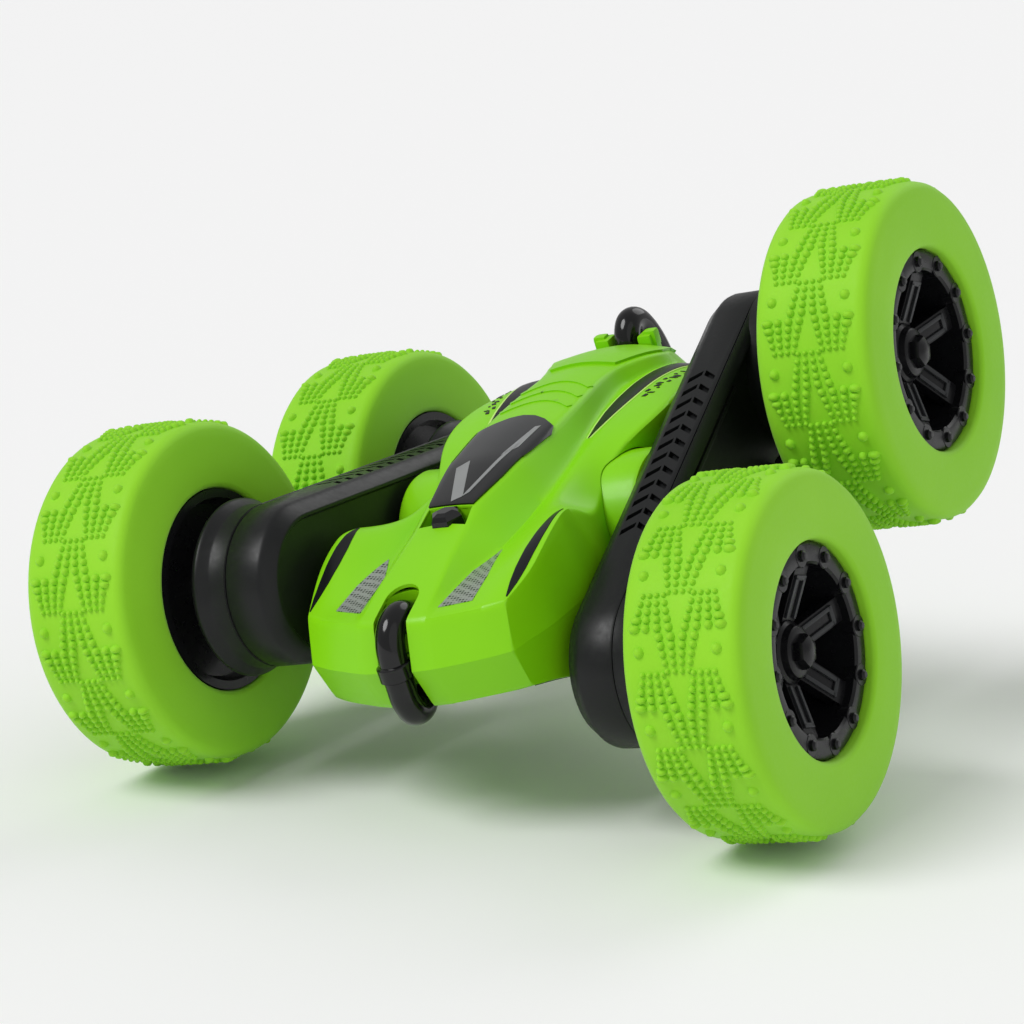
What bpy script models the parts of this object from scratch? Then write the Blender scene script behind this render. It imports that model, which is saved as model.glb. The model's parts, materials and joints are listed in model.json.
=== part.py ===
"""Double-sided radio-controlled stunt car.

A flat body with two identical faces hangs on one cross pivot between two swinging arms.
Each arm carries a wheel at both ends and a gear train that turns them together.
The car stands as it stops after a stunt: the arms are swung opposite ways, so that
three wheels are on the floor and the fourth is in the air.
"""

import math

import bmesh
import bpy
from mathutils import Matrix, Vector

COLLECTION = "rc_stunt_car"
MM = 0.001  # every size below is in millimetres, and becomes metres in the meshes
GAP = 0.3  # air between pieces that touch on the real car

# Driving dimensions
WHEEL_RADIUS = 32.0
WHEEL_WIDTH = 22.3
TRACK = 116.5  # between the middles of the left and the right wheels
WHEELBASE = 76.0  # between the two axles of one arm
ARM_SWING = 16.0  # degrees, left arm nose up and right arm nose down
BODY_PITCH = 2.74  # degrees that the body's nose is above the arms' mean plane

# Wheel, along its axle from the middle of its width
HUB_RADIUS = 18.5
AXLE_RADIUS = 2.0
TREAD_HALF = 8.9
TYRE_WALL = 3.2
RIM_FACE = 9.6
DISH_FLOOR = 4.5
BOSS_TOP = 7.2
SPOKES = 6

# Arm, as distances outwards from the middle of the car
ARM_RADIUS = 15.0
CASE_WALL = 1.5
CASE_FACE = 26.5
CASE_SEAM = 36.3
COVER_FACE = 38.1
BARREL_FACE = 43.4
COLLAR_RADIUS = 16.3
AXLE_INNER_END = 27.2
TUBE_RADIUS = 5.0
TUBE_BORE = 3.2
TUBE_INNER_END = 12.3
PIVOT_BOSS_RADIUS = 12.3

# Gear train: 20, 18, 20, 18 and 20 teeth in a line, a quarter of the wheelbase apart
MODULE = 1.0
LARGE_TEETH = 20
SMALL_TEETH = 18
GEAR_PITCH = WHEELBASE / 4
GEAR_FACE = 28.4
GEAR_WIDTH = 2.0

# Geared motor on the front small gear's centre
MOTOR_RADIUS = 6.0
MOTOR_FLAT = 5.0
MOTOR_START = 31.2
MOTOR_END = 41.9
POD_HALF = (8.6, 8.0)  # along the arm, and across it
POD_FACE = 43.7

# Body
SHELL = 1.5
STATIONS = (-44, -39, -34, -29.6, -26, -22, -17.7, -13, -6, 2, 8, 15, 23, 32, 40)
# Long lines of the body's upper face, on its right half: (y, x, z) from nose to tail.
# Each begins and ends on the parting plane, z = 0; the first and last inner points are
# the edges of the nose and the tail.
RAILS = {
    "spine": [(-59.6, 0, 0), (-56.6, 0, 8.4), (-50, 0, 10.6), (-43, 0, 12.6), (-37, 0, 14.3),
              (-32.4, 0, 15.4), (-28, 0, 17.2), (-14, 0, 19.8), (2, 0, 20.9), (19, 0, 21.2),
              (28, 0, 21.2), (36, 0, 20.4), (43, 0, 18.9), (49, 0, 15), (54, 0, 0)],
    "spine_edge": [(-59, 6.4, 0), (-56, 6.4, 8.3), (-50, 6.8, 10.4), (-43, 6, 12.4),
                   (-37, 5.6, 14.1), (-32.4, 5.4, 15.2), (-28, 5.4, 16.9), (-14, 7.6, 19),
                   (-2, 8.4, 19.8), (12, 8.4, 20.1), (22, 7.6, 20.1), (27, 8, 19.6),
                   (32, 10.6, 18.8), (37, 12.8, 18), (41, 12.4, 16.4), (47, 8.5, 14.4),
                   (53, 8, 0)],
    "valley": [(-58.7, 8, 0), (-55.7, 8, 8.3), (-51.5, 7.9, 8.9), (-41, 9, 9.7),
               (-34, 11.2, 10.2), (-24, 12, 11.1), (-13, 12.2, 12.6), (-2, 11.6, 13.9),
               (8, 10.4, 15.1), (17, 9.4, 15.9), (25, 9.4, 16.4), (32, 12, 16.4),
               (38, 14.2, 15.2), (43, 13.4, 12.6), (48, 11.5, 9.6), (52.5, 12, 0)],
    "fender_inner": [(-56.6, 14.8, 0), (-53.7, 14.8, 8.2), (-43.6, 14.2, 9.7),
                     (-35, 14.8, 11.2), (-27, 15.6, 12.6), (-18, 15, 13), (-8, 14, 13.6),
                     (2, 13.4, 14.9), (12, 14, 16.3), (24, 15.2, 17), (34, 17, 16.2),
                     (42, 16.2, 12.6), (49, 14.8, 8), (51.5, 14.8, 0)],
    "shoulder": [(-55, 18.4, 0), (-52.1, 18.4, 8.2), (-44, 18.8, 10.9), (-39, 18.9, 12.3),
                 (-34, 19, 13.3), (-28, 19.4, 13.8), (-24, 18.8, 13.2), (-21, 18.2, 12),
                 (-17.5, 17.6, 10.2), (-13, 17, 9.8), (-8, 16.6, 11.6), (-2, 16.4, 13.4),
                 (4, 17, 15), (12, 18.8, 16.2), (24, 19.2, 16.8), (34, 19.4, 15.4),
                 (42, 18, 12), (49, 16.6, 7.4), (51, 16.6, 0)],
    "fender_crest": [(-53.7, 21, 0), (-50.9, 20.6, 8.1), (-44, 22.7, 10.2), (-39, 23.4, 12.5),
                     (-34, 23.5, 14.2), (-29.6, 23.3, 14.8), (-26.5, 22.4, 14.1),
                     (-23.4, 21.8, 12.5), (-20.8, 21.4, 10.9), (-17.7, 21, 8.6),
                     (-13, 19.8, 7.2), (-8, 18.6, 9), (-3, 18.6, 12), (2, 20.6, 14.2),
                     (8, 23, 15.2), (15, 23.9, 15.8), (23, 23.3, 16), (32, 21.8, 14.4),
                     (40, 20, 11.4), (48, 17.5, 6.5), (50, 18, 0)],
    "side": [(-53.7, 21, 0), (-52.3, 20.8, 4), (-42, 23.8, 5), (-32, 25.2, 6), (-26, 24.6, 6),
             (-19, 22, 4.6), (-13, 20, 4), (-4, 18.4, 5), (4, 18.4, 5.4), (12, 22.4, 7),
             (20, 25, 7.6), (30, 25, 7), (40, 22.6, 5.6), (49, 18, 3), (50, 18, 0)],
    "parting": [(-53.7, 21, 0), (-53.7, 21, 0), (-44, 24, 0), (-32, 25.5, 0), (-24, 24.8, 0),
                (-17, 22, 0), (-12, 19.5, 0), (4, 18.4, 0), (12, 21.5, 0), (20, 25, 0),
                (30, 25.2, 0), (40, 23, 0), (50, 18, 0), (50, 18, 0)],
}
CANOPY = [(0, -26.6), (4.8, -26.6), (7.2, -14), (8.4, -2.4), (5.2, 1.4), (0, 3.2)]
PLUG_Y = -30.3
PLUG_RADIUS = 2.8
LOOP_RADIUS = 2.7
FRONT_LOOP = [(-49.6, 5), (-51, 7), (-53.4, 7.9), (-56.2, 7.2), (-58.2, 4.6), (-58.9, 0.6),
              (-59, -2.6), (-58.9, -5.6), (-57.6, -8.2), (-55, -8.6), (-52.6, -6.6)]
REAR_LOOP = [(46.2, 15), (46.6, 18.2), (49, 20.4), (52.4, 19.2), (55.6, 14), (57.4, 7),
             (58, 0)]
LUG = {"x": 4.6, "y": 46.6, "z": 16.4, "size": (3, 4.4, 5.4)}
DOOR = {"x": 7.4, "y": (6, 30), "z": (-21.7, -20.3)}
SWITCH = {"y": (33.8, 36.8), "travel": 3.0, "x": 1.3}
BOARD = {"x": 11, "y": (-24, 26), "z": (3.2, 4.8)}
BATTERY = {"radius": 7.0, "y": (-20, 28), "z": -8.8}
SHELL_SCREWS = {"front": (11, -40), "rear": (12, 33)}

GREEN = ("lime_plastic", (0.26, 0.68, 0.005), 0.35, 0.0)
TYRE_GREEN = ("lime_rubber", (0.30, 0.72, 0.02), 0.6, 0.0)
BLACK = ("black_plastic", (0.012, 0.012, 0.013), 0.4, 0.0)
GLOSS_BLACK = ("gloss_black", (0.01, 0.01, 0.011), 0.12, 0.0)
SMOKE = ("smoked_canopy", (0.03, 0.03, 0.035), 0.15, 0.0)
NYLON = ("white_nylon", (0.8, 0.8, 0.76), 0.45, 0.0)
STEEL = ("steel", (0.6, 0.6, 0.62), 0.3, 1.0)
BOARD_GREEN = ("circuit_board", (0.02, 0.2, 0.06), 0.5, 0.0)
CELL = ("battery_wrap", (0.05, 0.15, 0.5), 0.4, 0.0)


def clear_scene():
    for item in list(bpy.data.objects):
        bpy.data.objects.remove(item)


def new_collection(name):
    made = bpy.data.collections.new(name)
    bpy.context.scene.collection.children.link(made)
    return made


def material(recipe):
    name, colour, roughness, metallic = recipe
    if name in bpy.data.materials:
        return bpy.data.materials[name]
    made = bpy.data.materials.new(name)
    made.use_nodes = True
    shader = made.node_tree.nodes["Principled BSDF"]
    shader.inputs["Base Color"].default_value = (*colour, 1)
    shader.inputs["Roughness"].default_value = roughness
    shader.inputs["Metallic"].default_value = metallic
    made.diffuse_color = (*colour, 1)
    return made


def empty(name, parent=None, location=(0, 0, 0), rotation=(0, 0, 0)):
    made = bpy.data.objects.new(name, None)
    made.parent = parent
    made.location = Vector(location) * MM
    made.rotation_euler = rotation
    made.empty_display_size = 5 * MM
    PARTS.objects.link(made)
    return made


def place(name, mesh, recipe, parent, location=(0, 0, 0), rotation=(0, 0, 0)):
    """A named object from a mesh in millimetres; without a recipe it is a cutter."""
    mesh.transform(Matrix.Scale(MM, 4))
    made = bpy.data.objects.new(name, mesh)
    made.parent = parent
    made.location = Vector(location) * MM
    made.rotation_euler = rotation
    if recipe:
        mesh.materials.append(material(recipe))
        PARTS.objects.link(made)
    else:
        made.hide_render = True
        made.display_type = "WIRE"
        CUTTERS.objects.link(made)
    return made


def from_bmesh(name, bm, recipe, parent, **where):
    bmesh.ops.recalc_face_normals(bm, faces=bm.faces)
    mesh = bpy.data.meshes.new(name)
    bm.to_mesh(mesh)
    bm.free()
    return place(name, mesh, recipe, parent, **where)


def box(name, low, high, recipe, parent, **where):
    bm = bmesh.new()
    bmesh.ops.create_cube(bm, size=1)
    size = [b - a for a, b in zip(low, high)]
    middle = [(a + b) / 2 for a, b in zip(low, high)]
    bmesh.ops.scale(bm, vec=size, verts=bm.verts)
    bmesh.ops.translate(bm, vec=middle, verts=bm.verts)
    return from_bmesh(name, bm, recipe, parent, **where)


def rod(name, radius, low, high, recipe, parent, sides=16, **where):
    """A cylinder along local Z from low to high."""
    bm = bmesh.new()
    bmesh.ops.create_cone(bm, cap_ends=True, segments=sides, radius1=radius,
                          radius2=radius, depth=high - low)
    bmesh.ops.translate(bm, vec=(0, 0, (low + high) / 2), verts=bm.verts)
    return from_bmesh(name, bm, recipe, parent, **where)


def prism(name, outline, low, high, recipe, parent, **where):
    """An outline in local XY, extruded along Z from low to high."""
    bm = bmesh.new()
    face = bm.faces.new([bm.verts.new((x, y, low)) for x, y in outline])
    top = bmesh.ops.extrude_face_region(bm, geom=[face])["geom"]
    moved = [v for v in top if isinstance(v, bmesh.types.BMVert)]
    bmesh.ops.translate(bm, vec=(0, 0, high - low), verts=moved)
    return from_bmesh(name, bm, recipe, parent, **where)


def turned(name, profile, recipe, parent, steps=28, **where):
    """A closed (radius, height) profile turned about local Z, outer side first, downwards."""
    count = len(profile)
    mesh = bpy.data.meshes.new(name)
    edges = [(i, (i + 1) % count) for i in range(count)]
    mesh.from_pydata([(r, 0, h) for r, h in profile], edges, [])
    made = place(name, mesh, recipe, parent, **where)
    screw = made.modifiers.new("turn", "SCREW")
    screw.axis = "Z"
    screw.steps = screw.render_steps = steps
    screw.use_merge_vertices = True
    screw.merge_threshold = 1e-6
    return made


def boolean(made, cutter, operation="DIFFERENCE"):
    change = made.modifiers.new(f"{operation.lower()}_{cutter.name}", "BOOLEAN")
    change.operation = operation
    change.solver = "EXACT"
    change.object = cutter


def tube(name, points, radius, recipe, parent):
    """A round bar along (y, z) points of the body's middle plane."""
    curve = bpy.data.curves.new(name, "CURVE")
    curve.dimensions = "3D"
    line = curve.splines.new("POLY")
    smooth = smooth_line(points, 3)
    line.points.add(len(smooth) - 1)
    for point, (y, z) in zip(line.points, smooth):
        point.co = (0, y * MM, z * MM, 1)
    curve.bevel_depth = radius * MM
    curve.bevel_resolution = 2
    curve.use_fill_caps = True
    curve.materials.append(material(recipe))
    made = bpy.data.objects.new(name, curve)
    made.parent = parent
    PARTS.objects.link(made)
    return made


def smooth_line(points, pieces):
    """Catmull-Rom points through a list of (y, z)."""
    ends = [points[0], *points, points[-1]]
    line = []
    for a, b, c, d in zip(ends, ends[1:], ends[2:], ends[3:]):
        for step in range(pieces):
            t = step / pieces
            line.append(tuple(
                0.5 * (2 * q + (r - p) * t + (2 * p - 5 * q + 4 * r - s) * t ** 2
                       + (3 * q - p - 3 * r + s) * t ** 3)
                for p, q, r, s in zip(a, b, c, d)))
    return line + [points[-1]]


def stadium(radius, half_length, sides=10):
    """Outline of an arm: round ends about both axles, along local Y."""
    turns = [math.pi * i / sides for i in range(sides + 1)]
    rear = [(radius * math.cos(t), half_length + radius * math.sin(t)) for t in turns]
    return rear + [(-x, -y) for x, y in rear]


def chamfered_stadium(bm, levels):
    """Closed skin through stadium outlines, given as (radius, height) levels."""
    loops = []
    for radius, height in levels:
        outline = stadium(radius, WHEELBASE / 2)
        loops.append([bm.verts.new((x, y, height)) for x, y in outline])
    for lower, upper in zip(loops, loops[1:]):
        for i in range(len(lower)):
            j = (i + 1) % len(lower)
            bm.faces.new((lower[i], lower[j], upper[j], upper[i]))
    bm.faces.new(loops[0][::-1])
    bm.faces.new(loops[-1])


def gear(name, teeth, bore, phase, parent, location=(0, 0, 0)):
    """A spur gear about local Z. Tooth flanks are straight and a little thin, for backlash."""
    pitch = MODULE * teeth / 2
    root, tip = pitch - 1.2 * MODULE, pitch + 0.85 * MODULE
    step = 2 * math.pi / teeth
    flank = [(root, -0.29), (tip, -0.115), (tip, 0.115), (root, 0.29)]
    bm = bmesh.new()
    rings = []
    for height in (0, GEAR_WIDTH):
        ring = []
        for tooth in range(teeth):
            for radius, share in flank + [(bore, 0.5)]:
                turn = (tooth + phase + share) * step
                ring.append(bm.verts.new((radius * math.cos(turn), radius * math.sin(turn), height)))
        rings.append(ring)
    count = len(flank) + 1
    for i in range(teeth):
        this, after, before = i * count, ((i + 1) % teeth) * count, (i - 1) * count
        sector = [before + 4, this, this + 1, this + 2, this + 3, after, this + 4]
        bm.faces.new([rings[1][k] for k in sector])
        bm.faces.new([rings[0][k] for k in reversed(sector)])
        for a, b in ((this, this + 1), (this + 1, this + 2), (this + 2, this + 3),
                     (this + 3, after), (this + 4, before + 4)):
            bm.faces.new((rings[0][a], rings[0][b], rings[1][b], rings[1][a]))
    return from_bmesh(name, bm, NYLON, parent, location=location)


def rail_point(rail, y):
    """The rail's (x, z) at a station, between its nose edge and its tail edge."""
    inner = RAILS[rail][1:-1]
    for (y0, x0, z0), (y1, x1, z1) in zip(inner, inner[1:]):
        if y <= y1:
            t = (y - y0) / (y1 - y0)
            return x0 + (x1 - x0) * t, z0 + (z1 - z0) * t
    return inner[-1][1:]


def half_skin(sign):
    """The open outer skin of one half shell, right side only, with a skirt past the seam."""
    rows = [[Vector((x, y, z)) for y, x, z in (r[0] for r in RAILS.values())]]
    rows.append([Vector((r[1][1], r[1][0], r[1][2])) for r in RAILS.values()])
    for y in STATIONS:
        points = [rail_point(rail, y) for rail in RAILS]
        rows.append([Vector((x, y, z)) for x, z in points])
    rows.append([Vector((r[-2][1], r[-2][0], r[-2][2])) for r in RAILS.values()])
    rows.append([Vector((r[-1][1], r[-1][0], r[-1][2])) for r in RAILS.values()])
    bm = bmesh.new()
    grid = [[bm.verts.new((p.x, p.y, p.z * sign)) for p in row] for row in rows]
    for low, high in zip(grid, grid[1:]):
        for a, b, c, d in zip(low, low[1:], high[1:], high):
            bm.faces.new((a, b, c, d) if sign > 0 else (d, c, b, a))
    bmesh.ops.remove_doubles(bm, verts=bm.verts, dist=1e-4)
    seam = [e for e in bm.edges if e.is_boundary and all(abs(v.co.z) < 1e-6 for v in e.verts)]
    skirt = bmesh.ops.extrude_edge_only(bm, edges=seam)["geom"]
    lowered = [v for v in skirt if isinstance(v, bmesh.types.BMVert)]
    bmesh.ops.translate(bm, vec=(0, 0, -2.5 * sign), verts=lowered)
    return bm


def half_shell(name, sign, recipe, parent):
    """One half of the body: the mirrored skin, thickened and cut flat at the seam."""
    bm = half_skin(sign)
    mesh = bpy.data.meshes.new(name)
    bm.to_mesh(mesh)
    bm.free()
    made = place(name, mesh, recipe, parent)
    mirror = made.modifiers.new("both_sides", "MIRROR")
    mirror.use_clip = True
    mirror.merge_threshold = 1e-6
    solid = made.modifiers.new("wall", "SOLIDIFY")
    solid.thickness = SHELL * MM
    solid.offset = -1
    solid.use_even_offset = True
    made.modifiers.new("flat_faces", "TRIANGULATE")
    low, high = sorted((-10 * sign, GAP / 2 * sign))
    boolean(made, box(f"{name}_seam_cutter", (-40, -80, low), (40, 80, high), None, parent))
    return made


def canopy_outline(grow):
    """The canopy's outline, moved out by a distance, both sides."""
    middle = sum(y for _, y in CANOPY) / len(CANOPY)
    half = [(x + (grow if x else 0), y + grow * math.copysign(1, y - middle)) for x, y in CANOPY]
    return half + [(-x, y) for x, y in reversed(half[1:-1])]


def notch_outline(width):
    """The slot in the nose that the front loop comes out of."""
    turns = [math.pi * i / 8 for i in range(9)]
    back = [(width * math.cos(t), -50.8 + width * math.sin(t)) for t in turns]
    return [(width, -70), *back, (-width, -70)]


def make_body(chassis):
    """The two shells and everything that is fixed to them."""
    for label, sign in (("upper", 1), ("lower", -1)):
        reach = sorted((2 * sign, 40 * sign))
        shell = half_shell(f"{label}_shell", sign, GREEN, chassis)
        window = prism(f"{label}_window", canopy_outline(0), *reach, None, chassis)
        notch = prism(f"{label}_notch", notch_outline(3.4), *sorted((-20 * sign, 20 * sign)),
                      None, chassis)
        plug_hole = rod(f"{label}_plug_hole", PLUG_RADIUS + GAP, *reach, None, chassis,
                        sides=6, location=(0, PLUG_Y, 0))
        lugs = []
        for side in (-1, 1):
            low = [side * LUG["x"] - LUG["size"][0] / 2, LUG["y"] - LUG["size"][1] / 2,
                   min(sign * (LUG["z"] - 2.4), sign * (LUG["z"] + LUG["size"][2] - 2.4))]
            high = [a + b for a, b in zip(low, LUG["size"])]
            lugs.append(box(f"{label}_lug_{'left' if side < 0 else 'right'}", low, high,
                            None, chassis))
        loop_hole = box(f"{label}_loop_hole", (-2.95, 42.5, reach[0]), (2.95, 60, reach[1]),
                        None, chassis)
        for lug in lugs:
            boolean(shell, lug, "UNION")
        for cutter in (window, notch, plug_hole, loop_hole):
            boolean(shell, cutter)
        for side in ("left", "right"):
            boolean(shell, pivot_cutter(f"{label}_{side}", side, chassis))
        if sign < 0:
            cut_lower_shell(shell, chassis)
        canopy = half_shell(f"{label}_canopy", sign, SMOKE, chassis)
        keep = prism(f"{label}_canopy_outline", canopy_outline(-GAP), *reach, None, chassis)
        boolean(canopy, keep, "INTERSECT")
        plug_low, plug_high = sorted((13.4 * sign, 16.9 * sign))
        rod(f"{label}_hood_plug", PLUG_RADIUS, plug_low, plug_high, GLOSS_BLACK, chassis,
            sides=6, location=(0, PLUG_Y, 0))
    tube("front_loop", FRONT_LOOP, LOOP_RADIUS, GLOSS_BLACK, chassis)
    mirrored = [(y, -z) for y, z in reversed(REAR_LOOP[:-1])]
    tube("rear_loop", REAR_LOOP + mirrored, LOOP_RADIUS, GLOSS_BLACK, chassis)
    make_inside(chassis)


def pivot_cutter(label, side, chassis):
    sign = 1 if side == "right" else -1
    low, high = sorted((12 * sign, 40 * sign))
    return rod(f"{label}_pivot_hole", PIVOT_BOSS_RADIUS + GAP, low, high, None, chassis,
               sides=28, rotation=(0, math.pi / 2, 0))


def cut_lower_shell(shell, chassis):
    """The battery door's seat, the switch's slot and the screw holes."""
    x, (front, rear) = DOOR["x"] + GAP, DOOR["y"]
    boolean(shell, box("door_seat", (-x, front - GAP, -30), (x, rear + GAP, -12), None, chassis))
    y0, y1 = SWITCH["y"]
    slot = box("switch_slot", (-SWITCH["x"] - GAP, y0 - GAP, -30),
               (SWITCH["x"] + GAP, y1 + SWITCH["travel"] + GAP, -12), None, chassis)
    boolean(shell, slot)
    for end, (x, y) in SHELL_SCREWS.items():
        for side in (-1, 1):
            hole = rod(f"{end}_{side}_screw_hole", 2.0 + GAP, -30, -2, None, chassis, sides=12,
                       location=(x * side, y, 0))
            boolean(shell, hole)


def make_inside(chassis):
    """Pivot bosses, battery and its door, circuit board, switch and screws."""
    for side, turn in (("left", -math.pi / 2), ("right", math.pi / 2)):
        bore = TUBE_RADIUS + GAP
        turned(f"{side}_pivot_boss",
               [(PIVOT_BOSS_RADIUS, 25.7), (PIVOT_BOSS_RADIUS, 14), (bore, 14), (bore, 25.7)],
               GREEN, chassis, rotation=(0, turn, 0))
    x, (front, rear), (low, high) = DOOR["x"], DOOR["y"], DOOR["z"]
    box("battery_door", (-x, front, low), (x, rear, high), GREEN, chassis)
    y0, y1 = BATTERY["y"]
    rod("battery", BATTERY["radius"], -y1, -y0, CELL, chassis, sides=20,
        location=(0, 0, BATTERY["z"]), rotation=(math.pi / 2, 0, 0))
    x, (front, rear), (low, high) = BOARD["x"], BOARD["y"], BOARD["z"]
    box("circuit_board", (-x, front, low), (x, rear, high), BOARD_GREEN, chassis)
    x, (y0, y1) = SWITCH["x"], SWITCH["y"]
    switch = empty("switch_slide_axis", chassis, location=(0, y0, -18))
    box("power_switch", (-x, 0, -3.6), (x, y1 - y0, 0), BLACK, switch)
    box("switch_housing", (-3, y0 - 1, -16.4), (3, y1 + SWITCH["travel"] + 1, -13), BLACK, chassis)
    for end, (x, y) in SHELL_SCREWS.items():
        depth = -rail_height_at(x, y) + 1.6
        for side, word in ((-1, "left"), (1, "right")):
            screw(f"{end}_{word}_shell_screw", 2.0, depth, depth + 10, chassis, (x * side, y, 0))


def rail_height_at(x, y):
    """Height of the upper face over a point, between the rails on each side of it."""
    points = [rail_point(rail, y) for rail in RAILS]
    for (x0, z0), (x1, z1) in zip(points, points[1:]):
        if x0 <= x <= x1:
            return z0 + (z1 - z0) * (x - x0) / (x1 - x0)
    return points[-1][1]


def screw(name, head, start, end, parent, location):
    """A pan-head screw: its head starts outside and its shank runs to end."""
    way = 1 if end > start else -1
    profile = [(head, 0), (head, 1.4), (head / 2, 1.4), (head / 2, way * (end - start))]
    bm = bmesh.new()
    rings = [[bm.verts.new((r * math.cos(i * math.pi / 5), r * math.sin(i * math.pi / 5),
                            start + way * h)) for i in range(10)]
             for r, h in profile]
    for low, high in zip(rings, rings[1:]):
        for i in range(10):
            bm.faces.new((low[i], low[(i + 1) % 10], high[(i + 1) % 10], high[i]))
    bm.faces.new(rings[0])
    bm.faces.new(rings[-1])
    return from_bmesh(name, bm, STEEL, parent, location=location)


def make_arm(side, arm):
    """The case, its cover and the gear train. Local Z points outwards, local Y rearwards."""
    half = WHEELBASE / 2
    bm = bmesh.new()
    chamfered_stadium(bm, [(ARM_RADIUS - 2.5, CASE_FACE), (ARM_RADIUS - 0.5, CASE_FACE + 2.5),
                           (ARM_RADIUS, CASE_FACE + 4), (ARM_RADIUS, CASE_SEAM)])
    case = from_bmesh(f"{side}_arm_case", bm, BLACK, arm)
    inner = stadium(ARM_RADIUS - CASE_WALL, half)
    boolean(case, prism(f"{side}_case_hollow", inner, CASE_FACE + CASE_WALL, 50, None, arm))
    boolean(case, rod(f"{side}_tube", TUBE_RADIUS, TUBE_INNER_END, CASE_FACE + 1, None, arm,
                      sides=20), "UNION")
    boolean(case, rod(f"{side}_gear_stub", TUBE_RADIUS - 1, CASE_FACE + 0.5,
                      GEAR_FACE + GEAR_WIDTH + 1, None, arm, sides=20), "UNION")
    boolean(case, rod(f"{side}_tube_bore", TUBE_BORE, 5, 40, None, arm))
    boolean(case, rod(f"{side}_idler_post", AXLE_RADIUS, CASE_FACE + 0.5,
                      GEAR_FACE + GEAR_WIDTH + 1, None, arm,
                      location=(0, GEAR_PITCH, 0)), "UNION")
    bm = bmesh.new()
    chamfered_stadium(bm, [(ARM_RADIUS, CASE_SEAM + GAP), (ARM_RADIUS, COVER_FACE - 0.8),
                           (ARM_RADIUS - 0.8, COVER_FACE)])
    cover = from_bmesh(f"{side}_arm_cover", bm, BLACK, arm)
    pod_y = -GEAR_PITCH
    pod = [(sx * POD_HALF[1], pod_y + sy * POD_HALF[0])
           for sx, sy in ((-1, -1), (1, -1), (1, 1), (-1, 1))]
    boolean(cover, prism(f"{side}_pod", pod, CASE_SEAM + 0.6, POD_FACE, None, arm), "UNION")
    ends = {"front": -half, "rear": half}
    for end, y in ends.items():
        barrel = turned(f"{side}_{end}_barrel",
                        [(COLLAR_RADIUS, 42.8), (COLLAR_RADIUS, 41), (ARM_RADIUS - 0.3, 39.6),
                         (ARM_RADIUS - 0.3, CASE_SEAM + 0.7), (3, CASE_SEAM + 0.7),
                         (3, BARREL_FACE), (COLLAR_RADIUS - 0.6, BARREL_FACE)],
                        None, arm, location=(0, y, 0))
        boolean(cover, barrel, "UNION")
    for end, y in ends.items():
        room = rod(f"{side}_{end}_room", ARM_RADIUS - 2 * CASE_WALL, 30,
                   BARREL_FACE - CASE_WALL, None, arm, sides=28, location=(0, y, 0))
        boolean(cover, room)
        hole = rod(f"{side}_{end}_axle_hole", AXLE_RADIUS + GAP, 20, 50, None, arm,
                   location=(0, y, 0))
        boolean(cover, hole)
        boolean(case, hole)
    wall = 1.2
    room = [(x - math.copysign(wall, x), y - math.copysign(wall, y - pod_y)) for x, y in pod]
    boolean(cover, prism(f"{side}_pod_room", room, 30, POD_FACE - wall, None, arm))
    screw_y = {"front": -2.0, "rear": GEAR_PITCH + 1}
    for end, y in screw_y.items():
        hole = rod(f"{side}_{end}_screw_hole", 1.3 + GAP, 30, 50, None, arm, sides=12,
                   location=(9.5, y, 0))
        boolean(cover, hole)
        screw(f"{side}_arm_{end}_screw", 2.6, COVER_FACE + GAP + 1.4, GEAR_FACE + 4, arm,
              (9.5, y, 0))
    turned(f"{side}_pivot_clip",
           [(7.6, 13.7), (7.6, 12.5), (TUBE_RADIUS + GAP, 12.5), (TUBE_RADIUS + GAP, 13.7)],
           STEEL, arm, steps=16)
    make_motor(side, arm)
    make_idlers(side, arm)


def make_motor(side, arm):
    """A flat-sided can with its output shaft towards the gears."""
    turns = [math.radians(a) for a in range(0, 360, 15)]
    outline = [(max(-MOTOR_FLAT, min(MOTOR_FLAT, MOTOR_RADIUS * math.cos(t))),
                MOTOR_RADIUS * math.sin(t)) for t in turns]
    where = (0, -GEAR_PITCH, 0)
    motor = prism(f"{side}_motor", outline, MOTOR_START, MOTOR_END, STEEL, arm, location=where)
    boolean(motor, rod(f"{side}_motor_shaft", 1.0, GEAR_FACE, MOTOR_START + 1, None, arm,
                       sides=12, location=where), "UNION")


def make_idlers(side, arm):
    """The three gears between the axles. Small ones stand half a tooth off the large ones."""
    slot = empty(f"{side}_motor_gear_axis", arm, (0, -GEAR_PITCH, GEAR_FACE))
    gear(f"{side}_motor_gear", SMALL_TEETH, 1.3, small_phase(), slot)
    slot = empty(f"{side}_centre_gear_axis", arm, (0, 0, GEAR_FACE))
    gear(f"{side}_centre_gear", LARGE_TEETH, TUBE_RADIUS - 1 + GAP, 0, slot)
    slot = empty(f"{side}_idler_gear_axis", arm, (0, GEAR_PITCH, GEAR_FACE))
    gear(f"{side}_idler_gear", SMALL_TEETH, AXLE_RADIUS + GAP, small_phase(), slot)


def small_phase():
    """Turns a small gear so that its gaps face the teeth that large gears point along the arm.

    A large gear has a tooth on +Y and on -Y, because its count is a multiple of four. A
    small one has a tooth a quarter turn round at a half count, so it already has gaps there
    when its first tooth is on +X.
    """
    quarter = SMALL_TEETH / 4
    return (quarter - 0.5) - math.floor(quarter - 0.5)


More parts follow.
